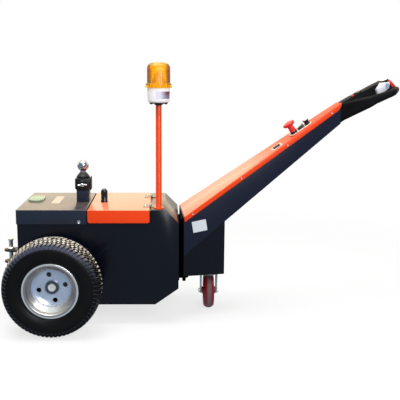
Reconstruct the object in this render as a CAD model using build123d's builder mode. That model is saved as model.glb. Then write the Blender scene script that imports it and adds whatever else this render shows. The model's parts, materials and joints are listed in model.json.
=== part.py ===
import os
from math import atan, cos, radians, sin, sqrt, tan

from build123d import *

os.makedirs("parts", exist_ok=True)

# Driving dimensions in millimetres. X runs from the tow side to the handle, Y to the far side, Z up.
# Lengths along X that belong to the body are measured from the drive axle.

# Drive wheels, size 16x6.50-8
TYRE_DIA = 406.0
TYRE_WIDTH = 165.0
SHOULDER_DRAW = 9.0
SHOULDER_DROP = 12.0
GROOVE_DEPTH = 7.0
SLOT_COUNT = 34
SLOT_WIDTH = 8.0
WHEEL_GAP = 22.0
RIM_SEAT_R = 101.6
RIM_FLANGE_R = 115.0
RIM_FLANGE_THICK = 5.0
RIM_WIDTH = 137.0
RIM_SHEET = 4.0
RIM_WELL_R = 84.0
RIM_WELL_HALF = 30.0
RIM_LEDGE_HALF = 38.0
RIM_LEDGE_DROP = 1.0
BEAD_STEP = 2.0
DISC_OFFSET = 4.0
DISC_THICK = 6.0
STUD_HOLE_R = 10.0
STUD_PCD = 110.0
STUD_COUNT = 4
STUD_TURN = 12.0
HUB_BOSS_R = 26.5
HUB_BOSS_LENGTH = 12.0
HUB_FLANGE_R = 40.0
HUB_FLANGE_THICK = 10.0
HUB_MOUTH_R = 19.5
HUB_MOUTH_DEPTH = 8.5
SHAFT_R = 16.0

# Body, folded sheet
BODY_WIDTH = 416.0
BODY_TOW_END = 158.0
BODY_BOTTOM_Z = 90.0
BODY_TOP_Z = 501.0
BODY_WALL = 4.0
CHAMFER_RUN = 99.0
CHAMFER_RISE = 70.0
REAR_DECK = 66.0
SLOPE_RUN = 56.0
SLOPE_DROP = 57.0
SHEET = 3.0
DECK_END_X = 131.5
DECK_SKIRT = 61.0
BULKHEAD_SET = 7.5
BULKHEAD_THICK = 4.0

# Battery lid and its butt hinges
LID_LENGTH = 258.5
LID_SKIRT = 55.0
LID_CORNER = 10.0
LID_SHEET = 2.5
LID_SIDE_GAP = 5.0
LID_SEAT_GAP = 0.3
LID_EDGE_GAP = 5.0
KNOB_INSET = 54.5
KNOB_Y = -22.0
KNOB_R = 16.0
KNOB_HEIGHT = 60.0
LEAF_LENGTH = 60.0
LEAF_REACH = 26.0
LEAF_THICK = 2.5
LEAF_INSET = 90.0
KNUCKLE_R = 4.5
KNUCKLE_LENGTH = 15.0
HINGE_PIN_R = 2.5
RUN_CLEAR = 0.05
END_CLEAR = 0.3

# Batteries, transaxle and axle bearings
BATTERY_END_GAP = 7.75
BATTERY_SIDE_GAP = 16.0
BATTERY_GAP = 24.0
BATTERY_HEIGHT = 275.0
BATTERY_CORNER = 6.0
AXLE_TUBE_R = 32.0
GEAR_CASE_R = 85.0
GEAR_CASE_WIDTH = 120.0
MOTOR_R = 66.0
MOTOR_HEADROOM = 58.0
BEARING_R = 55.0
BEARING_THICK = 8.0
BEARING_BOSS_R = 30.0
BEARING_BOSS_LENGTH = 12.0

# Drawbar hitch on the tow end
HITCH_REACH = 263.0
HITCH_NOSE_R = 30.0
HITCH_PIN_R = 9.0
HITCH_LOWER_Z = 222.0
HITCH_JAW = 44.0
HITCH_PLATE = 8.0
HITCH_ROOT_HALF = 45.0
HITCH_BACK_HEIGHT = 120.0
HITCH_BACK_THICK = 8.0
HITCH_PIN_BELOW = 16.0
HITCH_PIN_ABOVE = 47.0
HITCH_HEAD_R = 12.0
HITCH_COLLAR_R = 17.0
HITCH_COLLAR_THICK = 5.0

# Ball coupling tower on the deck
TOWER_INSET = 34.5
POST_SIDE = 56.0
POST_HEIGHT = 52.0
POST_WALL = 5.0
HOUSING_SIDE = 66.0
HOUSING_HEIGHT = 52.0
HOUSING_CUT = 9.0
SIDE_PLATE_THICK = 3.0
SIDE_PLATE_ABOVE = 6.0
COLLAR_R = 29.0
COLLAR_HEIGHT = 25.0
BALL_R = 25.0
BALL_ABOVE_DECK = 159.0
BALL_NECK_R = 13.0
BALL_FOOT_R = 15.0
LATCH_R = 20.0
LATCH_THICK = 8.0
LATCH_BAR = 34.0

# Gauge cover on the deck
GAUGE_X = -116.0
GAUGE_Y = 38.0
GAUGE_LENGTH = 62.0
GAUGE_WIDTH = 118.0
GAUGE_HEIGHT = 9.0
GAUGE_CORNER = 15.0

# Beacon
BEACON_FROM_CREST = 28.0
BEACON_INSET = 31.0
POLE_R = 12.5
POLE_FOOT_R = 21.0
POLE_FOOT_HEIGHT = 6.0
POLE_HEIGHT = 433.0
BRACKET_R = 17.0
BRACKET_HEIGHT = 10.0
BRACKET_FLANGE_R = 38.0
BRACKET_FLANGE = 4.0
BEACON_BASE_R = 47.0
BEACON_BASE_HEIGHT = 60.0
BEACON_BASE_ROUND = 14.0
LENS_RING_R = 54.0
LENS_RING_HEIGHT = 18.0
LENS_R = 48.0
LENS_TOP_R = 46.0
LENS_HEIGHT = 102.0
LENS_WALL = 3.0
LENS_ROUND = 26.0
REFLECTOR_R = 28.0
REFLECTOR_HEIGHT = 62.0

# Steering hinge between body and tiller
HINGE_OFFSET = 28.0
TILLER_YAW = 3.0
COLUMN_GAP = 15.0
STEER_PIN_R = 8.0
BARREL_R = 17.0
EAR_R = 20.0
EAR_THICK = 12.0
LOWER_EAR_Z = 150.0
UPPER_EAR_Z = 400.0
STEER_BACK_THICK = 6.0
STEER_BACK_HALF = 57.0
STEER_BACK_ABOVE = 18.0
PIN_HEAD_R = 12.0
PIN_HEAD_HEIGHT = 6.0
PIN_TAIL = 18.0

# Tiller column, arm and cover; u runs from the steering hinge along the tiller
ARM_ROOT_HALF = 139.0
ARM_TAPER = 0.148
ARM_TOP_Z = 465.0
ARM_TOP_SLOPE = 0.69
ARM_UNDER_Z = 295.0
ARM_UNDER_SLOPE = 0.8076
ARM_END = 683.0
ARM_SHEET = 3.0
COLUMN_END = 169.0
COLUMN_INSET = 10.0
COLUMN_FLOOR = 6.0
COVER_START = -10.0
COVER_SHEET = 2.5
COVER_FLANGE = 24.0
COVER_NOSE = 12.0
SLOT_HALF = 28.0
WING_PLATE = 6.0

# Controls on the arm
PANEL_U = 514.0
PANEL_LENGTH = 110.0
PANEL_WIDTH = 64.0
PANEL_THICK = 4.0
PANEL_CORNER = 8.0
ESTOP_U = 488.0
ESTOP_BASE_R = 15.0
ESTOP_BASE_HEIGHT = 16.0
ESTOP_NECK_R = 11.0
ESTOP_NECK_HEIGHT = 20.0
ESTOP_HEAD_R = 28.0
ESTOP_HEAD_HEIGHT = 20.0
KEY_U = 546.0
KEY_R = 13.0
KEY_HEIGHT = 25.0

# Control head
HEAD_LENGTH = 247.0
HEAD_RISE = 75.5
HEAD_STEP = 4.0
KNEE_RUN = 132.0
GRIP_HALF_WIDTH = 118.0
GRIP_BAR = 36.0
GRIP_END_DEPTH = 24.0
GRIP_FLARE = 102.0
GRIP_END_ROUND = 60.0
GRIP_END_DRAW = 36.0
GRIP_FILLET = 11.0
HOLE_FROM_ARM = 85.0
HOLE_LEAN = 30.0
HOLE_END_LEAN = 22.0
HOLE_FILLET = 9.0
POD_HALF = 34.0
WING_HALF_OUT = 58.0
BELLY_HALF = 30.0
BELLY_DEPTH = 16.0
BELLY_LENGTH = 46.0
BELLY_BACK = 30.4
BELLY_LIP = 19.5
BELLY_ROUND = 5.0

# Top line of the pod and outline of a throttle wing: run from the arm's end, rise above the cover there
POD_TOP = ((47.0, 25.0), (72.0, 38.0), (104.0, 54.0), (139.0, 73.0), (179.0, 93.0), (206.0, 104.0))
WING_OUTLINE = ((153.0, 36.0), (183.0, 50.0), (201.0, 64.0), (203.0, 91.0), (163.0, 87.0), (146.0, 59.0))

# Castor under the column
CASTOR_U = 113.0
CASTOR_TRAIL = 20.0
CASTOR_HEADING = 90.0
CASTOR_R = 80.0
CASTOR_TYRE_WIDTH = 46.0
CASTOR_TYRE_CROWN = 12.0
CASTOR_HUB_WIDTH = 61.0
CASTOR_HUB_R = 56.0
CASTOR_HUB_INSET = 3.0
CASTOR_RIM_THICK = 4.0
CASTOR_RIM_LIP = 8.0
CASTOR_BOSS_R = 16.0
CASTOR_BOSS_FLARE = 4.0
CASTOR_WEB_HALF = 8.0
FORK_CLEAR = 1.5
FORK_PLATE = 7.0
FORK_HEADROOM = 6.0
FORK_CROWN_THICK = 5.5
FORK_EYE_R = 14.0
CASTOR_PLATE_LENGTH = 105.0
CASTOR_PLATE_WIDTH = 85.0
CASTOR_PLATE_THICK = 5.0
RACE_R = 33.0
RACE_HEIGHT = 14.2
KINGPIN_R = 8.0
CASTOR_BOLT_R = 6.0
CASTOR_NUT_R = 9.5
CASTOR_NUT_THICK = 7.0

# Tyre tread: distance of each groove from the tyre's middle and its width,
# then start, end, drop of the floor below the crown, and turn in pitches of each ring of slots
TREAD_GROOVES = ((11.0, 5.0), (29.5, 4.0), (47.0, 4.0))
TREAD_SLOTS = ((31.5, 45.0, 10.0, 0.0), (49.0, 82.5, 19.0, 0.5))

# Values worked out from the driving dimensions
YAW_COS = cos(radians(TILLER_YAW))
YAW_SIN = sin(radians(TILLER_YAW))
TRACK = BODY_WIDTH + 2 * WHEEL_GAP + TYRE_WIDTH
INNER_HALF = BODY_WIDTH / 2 - BODY_WALL
BULKHEAD_X = DECK_END_X - BULKHEAD_SET
LID_START_X = DECK_END_X + LID_EDGE_GAP
LID_END_X = LID_START_X + LID_LENGTH
CREST_X = LID_END_X + REAR_DECK
BODY_HINGE_END = CREST_X + SLOPE_RUN
HINGE_FROM_AXLE = BODY_HINGE_END + HINGE_OFFSET
HEAD_END = ARM_END + HEAD_LENGTH
END_TURN = atan(GRIP_END_DRAW / GRIP_END_ROUND)
END_FLAT_HALF = GRIP_HALF_WIDTH - GRIP_END_ROUND - GRIP_BAR * tan(END_TURN / 2)
HANDLE_REACH = HINGE_FROM_AXLE + (HEAD_END - GRIP_BAR) * YAW_COS + END_FLAT_HALF * YAW_SIN + GRIP_BAR
AXLE_X = (HITCH_REACH - HANDLE_REACH) / 2
AXLE_Z = TYRE_DIA / 2
HINGE_X = AXLE_X + HINGE_FROM_AXLE
COLUMN_START = COLUMN_GAP - HINGE_OFFSET
FORK_CROWN_Z = 2 * CASTOR_R + FORK_HEADROOM
CROWN_TOP_Z = FORK_CROWN_Z + FORK_CROWN_THICK
RACE_BOTTOM_Z = CROWN_TOP_Z + END_CLEAR
PLATE_BOTTOM_Z = RACE_BOTTOM_Z + RACE_HEIGHT
COLUMN_BOTTOM_Z = PLATE_BOTTOM_Z + CASTOR_PLATE_THICK

# Views that the profiles are drawn in
side_view = Plane(origin=(AXLE_X, 0, 0), x_dir=(1, 0, 0), z_dir=(0, -1, 0))
plan_view = Plane(origin=(AXLE_X, 0, 0), x_dir=(1, 0, 0), z_dir=(0, 0, 1))
tiller_plan = Plane(origin=(HINGE_X, 0, 0), x_dir=(YAW_COS, YAW_SIN, 0), z_dir=(0, 0, 1))
tiller_side = Plane(origin=(HINGE_X, 0, 0), x_dir=(YAW_COS, YAW_SIN, 0), z_dir=(YAW_SIN, -YAW_COS, 0))


def keep(name, builder):
    """Label a finished piece and write its STEP file."""
    builder.part.label = name
    export_step(builder.part, f"parts/{name}.step")


def upright(x, y):
    """Vertical drawing plane through a point of the deck, with the vertical axis through it."""
    base = (AXLE_X + x, y, 0)
    return Plane(origin=base, x_dir=(1, 0, 0), z_dir=(0, -1, 0)), Axis(base, (0, 0, 1))


# Body shell: sides, ends and floor in one folded box, with the rear deck and its slope
body_outline = [
    (-BODY_TOW_END, BODY_BOTTOM_Z + CHAMFER_RISE),
    (-BODY_TOW_END, BODY_TOP_Z - SHEET),
    (LID_END_X + LID_EDGE_GAP, BODY_TOP_Z - SHEET),
    (LID_END_X + LID_EDGE_GAP, BODY_TOP_Z),
    (CREST_X, BODY_TOP_Z),
    (BODY_HINGE_END, BODY_TOP_Z - SLOPE_DROP),
    (BODY_HINGE_END, BODY_BOTTOM_Z + CHAMFER_RISE),
    (BODY_HINGE_END - CHAMFER_RUN, BODY_BOTTOM_Z),
    (-BODY_TOW_END + CHAMFER_RUN, BODY_BOTTOM_Z),
]
OPENING_START = -BODY_TOW_END + BODY_WALL
OPENING_END = LID_END_X + LID_EDGE_GAP - BODY_WALL
with BuildPart() as body_shell:
    with BuildSketch(side_view):
        with BuildLine():
            Polyline(*body_outline, close=True)
        make_face()
    extrude(amount=BODY_WIDTH / 2, both=True)
    with BuildSketch(side_view):
        with BuildLine():
            Polyline(*body_outline, close=True)
        make_face()
        offset(amount=-BODY_WALL, kind=Kind.INTERSECTION, mode=Mode.REPLACE)
    extrude(amount=INNER_HALF, both=True, mode=Mode.SUBTRACT)
    with BuildSketch(plan_view.offset(BODY_TOP_Z)):
        with Locations(((OPENING_START + OPENING_END) / 2, 0)):
            Rectangle(OPENING_END - OPENING_START, 2 * INNER_HALF)
    extrude(amount=-3 * BODY_WALL, mode=Mode.SUBTRACT)
    with BuildSketch(side_view):
        with Locations((0, AXLE_Z)):
            Circle(AXLE_TUBE_R)
    extrude(amount=BODY_WIDTH, both=True, mode=Mode.SUBTRACT)
keep("body_shell", body_shell)

# Bulkhead that parts the drive bay from the battery bay and carries the deck edge
with BuildPart() as bulkhead:
    with BuildSketch(plan_view.offset(BODY_BOTTOM_Z + BODY_WALL)):
        with Locations((BULKHEAD_X + BULKHEAD_THICK / 2, 0)):
            Rectangle(BULKHEAD_THICK, 2 * INNER_HALF)
    extrude(amount=BODY_TOP_Z - SHEET - BODY_BOTTOM_Z - BODY_WALL)
keep("bulkhead", bulkhead)

# Deck cover: folded lid sheet over the drive bay, with a skirt on three sides
DECK_HALF = BODY_WIDTH / 2 + SHEET
with BuildPart() as deck_cover:
    with BuildSketch(plan_view.offset(BODY_TOP_Z)):
        with Locations(((DECK_END_X - BODY_TOW_END - SHEET) / 2, 0)):
            Rectangle(DECK_END_X + BODY_TOW_END + SHEET, 2 * DECK_HALF)
    extrude(amount=-DECK_SKIRT)
    fillet(deck_cover.edges().group_by(Axis.Z)[-1].sort_by(Axis.X)[:-1], radius=SHEET / 2)
    with BuildSketch(plan_view.offset(BODY_TOP_Z - SHEET)):
        with Locations(((DECK_END_X - BODY_TOW_END) / 2 + SHEET, 0)):
            Rectangle(DECK_END_X + BODY_TOW_END + 2 * SHEET, BODY_WIDTH)
    extrude(amount=-DECK_SKIRT, mode=Mode.SUBTRACT)
keep("deck_cover", deck_cover)

# Battery lid: folded sheet with a skirt on both sides
LID_HALF = BODY_WIDTH / 2 + LID_SIDE_GAP + LID_SHEET
LID_UNDER_Z = BODY_TOP_Z - SHEET + LID_SEAT_GAP
LID_TOP_Z = LID_UNDER_Z + LID_SHEET
LID_MID_X = (LID_START_X + LID_END_X) / 2
with BuildPart() as battery_lid:
    with BuildSketch(plan_view.offset(LID_TOP_Z)):
        with Locations((LID_MID_X, 0)):
            Rectangle(LID_END_X - LID_START_X, 2 * LID_HALF)
    extrude(amount=-LID_SKIRT)
    fillet(battery_lid.edges().group_by(Axis.Z)[0].filter_by(Axis.Y), radius=LID_CORNER)
    fillet(battery_lid.edges().group_by(Axis.Z)[-1].filter_by(Axis.X), radius=LID_SHEET / 2)
    with BuildSketch(plan_view.offset(LID_UNDER_Z)):
        with Locations((LID_MID_X, 0)):
            Rectangle(LID_END_X - LID_START_X, 2 * (LID_HALF - LID_SHEET))
    extrude(amount=-LID_SKIRT, mode=Mode.SUBTRACT)
keep("battery_lid", battery_lid)

# Dome-topped knob that lifts the lid
knob_plane, knob_axis = upright(LID_START_X + KNOB_INSET, KNOB_Y)
with BuildPart() as lid_knob:
    with BuildSketch(knob_plane):
        with BuildLine():
            Polyline((0, LID_TOP_Z + KNOB_HEIGHT), (0, LID_TOP_Z), (KNOB_R, LID_TOP_Z),
                     (KNOB_R, LID_TOP_Z + KNOB_HEIGHT - KNOB_R))
            RadiusArc((KNOB_R, LID_TOP_Z + KNOB_HEIGHT - KNOB_R), (0, LID_TOP_Z + KNOB_HEIGHT), -KNOB_R)
        make_face()
    revolve(axis=knob_axis)
keep("lid_knob", lid_knob)

# Butt hinges of the lid: fixed leaves with end knuckles and pin, and lid straps with the middle knuckle
HINGE_LINE_X = LID_END_X + LID_EDGE_GAP / 2
HINGE_LINE_Z = BODY_TOP_Z + KNUCKLE_R + END_CLEAR
hinge_centres = (LEAF_INSET - BODY_WIDTH / 2, BODY_WIDTH / 2 - LEAF_INSET)
KNUCKLE_SHIFT = (LEAF_LENGTH - KNUCKLE_LENGTH) / 2
MIDDLE_LENGTH = LEAF_LENGTH - 2 * KNUCKLE_LENGTH - 2 * END_CLEAR
LEAF_START = HINGE_LINE_X + KNUCKLE_R + 2 * END_CLEAR
STRAP_START = HINGE_LINE_X - KNUCKLE_R - 2 * END_CLEAR
with BuildPart() as lid_hinge_leaves:
    with BuildSketch(plan_view.offset(BODY_TOP_Z)):
        for centre in hinge_centres:
            with Locations((LEAF_START + LEAF_REACH / 2, centre)):
                Rectangle(LEAF_REACH, LEAF_LENGTH)
            with Locations((HINGE_LINE_X + LEAF_REACH / 4, centre - KNUCKLE_SHIFT),
                           (HINGE_LINE_X + LEAF_REACH / 4, centre + KNUCKLE_SHIFT)):
                Rectangle(LEAF_REACH / 2, KNUCKLE_LENGTH)
    extrude(amount=LEAF_THICK)
    for centre in hinge_centres:
        for knuckle in (centre - KNUCKLE_SHIFT, centre + KNUCKLE_SHIFT):
            with BuildSketch(side_view.offset(-knuckle)):
                with Locations((HINGE_LINE_X, HINGE_LINE_Z)):
                    Circle(KNUCKLE_R)
            extrude(amount=KNUCKLE_LENGTH / 2, both=True)
        with BuildSketch(side_view.offset(-centre)):
            with Locations((HINGE_LINE_X, HINGE_LINE_Z)):
                Circle(HINGE_PIN_R)
        extrude(amount=LEAF_LENGTH / 2, both=True)
keep("lid_hinge_leaves", lid_hinge_leaves)

with BuildPart() as lid_hinge_straps:
    with BuildSketch(plan_view.offset(LID_TOP_Z)):
        for centre in hinge_centres:
            with Locations((STRAP_START - LEAF_REACH / 2, centre)):
                Rectangle(LEAF_REACH, LEAF_LENGTH)
            with Locations((HINGE_LINE_X - LEAF_REACH / 4, centre)):
                Rectangle(LEAF_REACH / 2, MIDDLE_LENGTH)
    extrude(amount=LEAF_THICK)
    for centre in hinge_centres:
        with BuildSketch(side_view.offset(-centre)):
            with Locations((HINGE_LINE_X, HINGE_LINE_Z)):
                Circle(KNUCKLE_R)
        extrude(amount=MIDDLE_LENGTH / 2, both=True)
        with BuildSketch(side_view.offset(-centre)):
            with Locations((HINGE_LINE_X, HINGE_LINE_Z)):
                Circle(HINGE_PIN_R + RUN_CLEAR)
        extrude(amount=LEAF_LENGTH, both=True, mode=Mode.SUBTRACT)
keep("lid_hinge_straps", lid_hinge_straps)

# Two battery blocks side by side on the floor of the battery bay
BATTERY_LENGTH = LID_LENGTH - 2 * BATTERY_END_GAP
BATTERY_WIDTH = INNER_HALF - BATTERY_SIDE_GAP - BATTERY_GAP / 2
with BuildPart() as batteries:
    with BuildSketch(plan_view.offset(BODY_BOTTOM_Z + BODY_WALL)):
        with Locations((LID_MID_X, 0)):
            with GridLocations(1, BATTERY_WIDTH + BATTERY_GAP, 1, 2):
                RectangleRounded(BATTERY_LENGTH, BATTERY_WIDTH, BATTERY_CORNER)
    extrude(amount=BATTERY_HEIGHT)
keep("batteries", batteries)

# Transaxle: axle tube from wall to wall, gear case and upright motor
axle_line = Axis((AXLE_X, 0, AXLE_Z), (0, 1, 0))
with BuildPart() as transaxle:
    with BuildSketch(side_view):
        with Locations((0, AXLE_Z)):
            Circle(AXLE_TUBE_R)
    extrude(amount=BODY_WIDTH / 2, both=True)
    with BuildSketch(side_view):
        with Locations((0, AXLE_Z)):
            Circle(GEAR_CASE_R)
    extrude(amount=GEAR_CASE_WIDTH / 2, both=True)
    with BuildSketch(plan_view.offset(AXLE_Z)):
        Circle(MOTOR_R)
    extrude(amount=BODY_TOP_Z - SHEET - MOTOR_HEADROOM - AXLE_Z)
    with BuildSketch(side_view):
        with Locations((0, AXLE_Z)):
            Circle(SHAFT_R + RUN_CLEAR)
    extrude(amount=BODY_WIDTH, both=True, mode=Mode.SUBTRACT)
keep("transaxle", transaxle)

# Flanged axle bearings on the body sides, one solid each
with BuildPart() as axle_bearings:
    for side in (-1, 1):
        with BuildSketch(side_view.offset(side * BODY_WIDTH / 2)):
            with Locations((0, AXLE_Z)):
                Circle(BEARING_R)
        extrude(amount=side * BEARING_THICK)
        with BuildSketch(side_view.offset(side * (BODY_WIDTH / 2 + BEARING_THICK))):
            with Locations((0, AXLE_Z)):
                Circle(BEARING_BOSS_R)
        extrude(amount=side * BEARING_BOSS_LENGTH)
    with BuildSketch(side_view):
        with Locations((0, AXLE_Z)):
            Circle(SHAFT_R + RUN_CLEAR)
    extrude(amount=BODY_WIDTH, both=True, mode=Mode.SUBTRACT)
keep("axle_bearings", axle_bearings)

# Drive wheels. Profiles are drawn as distance outboard of the tyre's middle and radius from the axle.
RIM_HALF = RIM_WIDTH / 2
BEAD_HALF = RIM_HALF - RIM_FLANGE_THICK
LEDGE_R = RIM_SEAT_R - RIM_LEDGE_DROP
WELL_INNER_R = RIM_WELL_R - RIM_SHEET
rim_outline = [
    (RIM_HALF, RIM_FLANGE_R),
    (BEAD_HALF, RIM_FLANGE_R),
    (BEAD_HALF, RIM_SEAT_R),
    (RIM_LEDGE_HALF, LEDGE_R),
    (RIM_WELL_HALF, RIM_WELL_R),
    (-RIM_WELL_HALF, RIM_WELL_R),
    (-RIM_LEDGE_HALF, LEDGE_R),
    (-BEAD_HALF, RIM_SEAT_R),
    (-BEAD_HALF, RIM_FLANGE_R),
    (-RIM_HALF, RIM_FLANGE_R),
    (-RIM_HALF, RIM_SEAT_R - RIM_SHEET),
    (-RIM_LEDGE_HALF - RIM_SHEET / 2, LEDGE_R - RIM_SHEET),
    (-RIM_WELL_HALF - RIM_SHEET / 2, WELL_INNER_R),
    (DISC_OFFSET, WELL_INNER_R),
    (DISC_OFFSET, HUB_BOSS_R),
    (DISC_OFFSET + DISC_THICK, HUB_BOSS_R),
    (DISC_OFFSET + DISC_THICK, WELL_INNER_R),
    (RIM_WELL_HALF + RIM_SHEET / 2, WELL_INNER_R),
    (RIM_LEDGE_HALF + RIM_SHEET / 2, LEDGE_R - RIM_SHEET),
    (RIM_HALF, RIM_SEAT_R - RIM_SHEET),
]
DISC_FACE = DISC_OFFSET + DISC_THICK
BOSS_END = DISC_FACE + HUB_BOSS_LENGTH
SHAFT_START = BODY_WIDTH / 2 - TRACK / 2 - BODY_WALL
hub_outline = [
    (SHAFT_START, 0),
    (SHAFT_START, SHAFT_R),
    (DISC_OFFSET - HUB_FLANGE_THICK, SHAFT_R),
    (DISC_OFFSET - HUB_FLANGE_THICK, HUB_FLANGE_R),
    (DISC_OFFSET, HUB_FLANGE_R),
    (DISC_OFFSET, HUB_BOSS_R),
    (BOSS_END, HUB_BOSS_R),
    (BOSS_END, HUB_MOUTH_R),
    (BOSS_END - HUB_MOUTH_DEPTH, HUB_MOUTH_R),
    (BOSS_END - HUB_MOUTH_DEPTH, 0),
]
TYRE_R = TYRE_DIA / 2
TYRE_HALF = TYRE_WIDTH / 2
SHOULDER_HALF = TYRE_HALF - SHOULDER_DRAW
SHOULDER_R = TYRE_R - SHOULDER_DROP
BEAD_R = RIM_FLANGE_R + BEAD_STEP
WALL_R = (RIM_FLANGE_R + SHOULDER_R) / 2
CROWN_R = (SHOULDER_HALF**2 + SHOULDER_DROP**2) / (2 * SHOULDER_DROP)
for side_name, side in (("right", -1), ("left", 1)):
    wheel_centre = (AXLE_X, side * TRACK / 2, AXLE_Z)
    wheel_plane = Plane(origin=wheel_centre, x_dir=(0, side, 0), z_dir=(side, 0, 0))
    with BuildPart() as rim:
        with BuildSketch(wheel_plane):
            with BuildLine():
                Polyline(*rim_outline, close=True)
            make_face()
        revolve(axis=axle_line)
        with BuildSketch(side_view.offset(-side * TRACK / 2)):
            with Locations((0, AXLE_Z)):
                with PolarLocations(STUD_PCD / 2, STUD_COUNT, start_angle=STUD_TURN):
                    Circle(STUD_HOLE_R)
        extrude(amount=RIM_HALF / 2, both=True, mode=Mode.SUBTRACT)
    keep(f"rim_{side_name}", rim)

    with BuildPart() as hub:
        with BuildSketch(wheel_plane):
            with BuildLine():
                Polyline(*hub_outline, close=True)
            make_face()
        revolve(axis=axle_line)
    keep(f"hub_{side_name}", hub)

    with BuildPart() as tyre:
        with BuildSketch(wheel_plane):
            with BuildLine():
                Polyline((-BEAD_HALF, RIM_FLANGE_R), (-BEAD_HALF, RIM_SEAT_R), (BEAD_HALF, RIM_SEAT_R),
                         (BEAD_HALF, RIM_FLANGE_R), (RIM_HALF, BEAD_R))
                ThreePointArc((RIM_HALF, BEAD_R), (TYRE_HALF, WALL_R), (SHOULDER_HALF, SHOULDER_R))
                ThreePointArc((SHOULDER_HALF, SHOULDER_R), (0, TYRE_R), (-SHOULDER_HALF, SHOULDER_R))
                ThreePointArc((-SHOULDER_HALF, SHOULDER_R), (-TYRE_HALF, WALL_R), (-RIM_HALF, BEAD_R))
                Line((-RIM_HALF, BEAD_R), (-BEAD_HALF, RIM_FLANGE_R))
            make_face()
            for across, width in TREAD_GROOVES:
                crown = TYRE_R - CROWN_R + sqrt(CROWN_R**2 - across**2)
                with Locations((across, crown), (-across, crown)):
                    Rectangle(width, 2 * GROOVE_DEPTH, mode=Mode.SUBTRACT)
        revolve(axis=axle_line)
        for start, end, drop, turn in TREAD_SLOTS:
            for flank in (-1, 1):
                with BuildSketch(side_view.offset(-side * TRACK / 2 - flank * start)):
                    with Locations((0, AXLE_Z)):
                        with PolarLocations(TYRE_R, SLOT_COUNT, start_angle=360 / SLOT_COUNT * turn):
                            Rectangle(2 * drop, SLOT_WIDTH)
                extrude(amount=flank * (start - end), mode=Mode.SUBTRACT)
    keep(f"tyre_{side_name}", tyre)

# Drawbar hitch: back plate with two jaw plates, and the drop pin through them
HITCH_PIN_X = HITCH_REACH - HITCH_NOSE_R
HITCH_UPPER_Z = HITCH_LOWER_Z + HITCH_PLATE + HITCH_JAW
HITCH_MID_Z = (HITCH_UPPER_Z + HITCH_LOWER_Z + HITCH_PLATE) / 2
HITCH_FACE_X = -BODY_TOW_END - HITCH_BACK_THICK
with BuildPart() as hitch_bracket:
    with BuildSketch(side_view):
        with Locations((HITCH_FACE_X + HITCH_BACK_THICK / 2, HITCH_MID_Z)):
            Rectangle(HITCH_BACK_THICK, HITCH_BACK_HEIGHT)
    extrude(amount=HITCH_ROOT_HALF, both=True)
    for plate_z in (HITCH_LOWER_Z, HITCH_UPPER_Z):
        with BuildSketch(plan_view.offset(plate_z)):
            with BuildLine():
                Polyline((HITCH_FACE_X, HITCH_ROOT_HALF), (HITCH_FACE_X, -HITCH_ROOT_HALF),
                         (-HITCH_PIN_X, -HITCH_NOSE_R), (-HITCH_PIN_X, HITCH_NOSE_R), close=True)
            make_face()
            with Locations((-HITCH_PIN_X, 0)):
                Circle(HITCH_NOSE_R)
                Circle(HITCH_PIN_R, mode=Mode.SUBTRACT)
        extrude(amount=HITCH_PLATE)
keep("hitch_bracket", hitch_bracket)

pin_plane, pin_axis = upright(-HITCH_PIN_X, 0)
PIN_SEAT_Z = HITCH_UPPER_Z + HITCH_PLATE
with BuildPart() as hitch_pin:
    with BuildSketch(pin_plane):
        with BuildLine():
            Polyline((0, HITCH_LOWER_Z - HITCH_PIN_BELOW), (HITCH_PIN_R, HITCH_LOWER_Z - HITCH_PIN_BELOW),
                     (HITCH_PIN_R, PIN_SEAT_Z), (HITCH_COLLAR_R, PIN_SEAT_Z),
                     (HITCH_COLLAR_R, PIN_SEAT_Z + HITCH_COLLAR_THICK),
                     (HITCH_PIN_R, PIN_SEAT_Z + 2 * HITCH_COLLAR_THICK),
                     (HITCH_PIN_R, PIN_SEAT_Z + HITCH_PIN_ABOVE - HITCH_HEAD_R),
                     (HITCH_HEAD_R, PIN_SEAT_Z + HITCH_PIN_ABOVE - HITCH_HEAD_R / 3),
                     (HITCH_HEAD_R, PIN_SEAT_Z + HITCH_PIN_ABOVE), (0, PIN_SEAT_Z + HITCH_PIN_ABOVE),
                     close=True)
        make_face()
    revolve(axis=pin_axis)
keep("hitch_pin", hitch_pin)

# Ball coupling tower: square post, housing with cut lower corners and a side plate, collar, ball and latch
TOWER_X = DECK_END_X - TOWER_INSET
POST_TOP_Z = BODY_TOP_Z + POST_HEIGHT
HOUSING_TOP_Z = POST_TOP_Z + HOUSING_HEIGHT
with BuildPart() as tow_post:
    with BuildSketch(plan_view.offset(BODY_TOP_Z)):
        with Locations((TOWER_X, 0)):
            RectangleRounded(POST_SIDE, POST_SIDE, POST_WALL)
            Rectangle(POST_SIDE - 2 * POST_WALL, POST_SIDE - 2 * POST_WALL, mode=Mode.SUBTRACT)
    extrude(amount=POST_HEIGHT)
keep("tow_post", tow_post)

SIDE_PLATE_HEIGHT = HOUSING_HEIGHT + SIDE_PLATE_ABOVE
with BuildPart() as coupling_housing:
    with BuildSketch(side_view) as housing_face:
        with Locations((TOWER_X, POST_TOP_Z + HOUSING_HEIGHT / 2)):
            Rectangle(HOUSING_SIDE, HOUSING_HEIGHT)
        chamfer(housing_face.vertices().group_by(Axis.Y)[0], HOUSING_CUT)
    extrude(amount=HOUSING_SIDE / 2, both=True)
    with BuildSketch(side_view):
        with Locations((TOWER_X + (HOUSING_SIDE + SIDE_PLATE_THICK) / 2, POST_TOP_Z + SIDE_PLATE_HEIGHT / 2)):
            Rectangle(SIDE_PLATE_THICK, SIDE_PLATE_HEIGHT)
    extrude(amount=POST_SIDE / 2, both=True)
keep("coupling_housing", coupling_housing)

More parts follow.
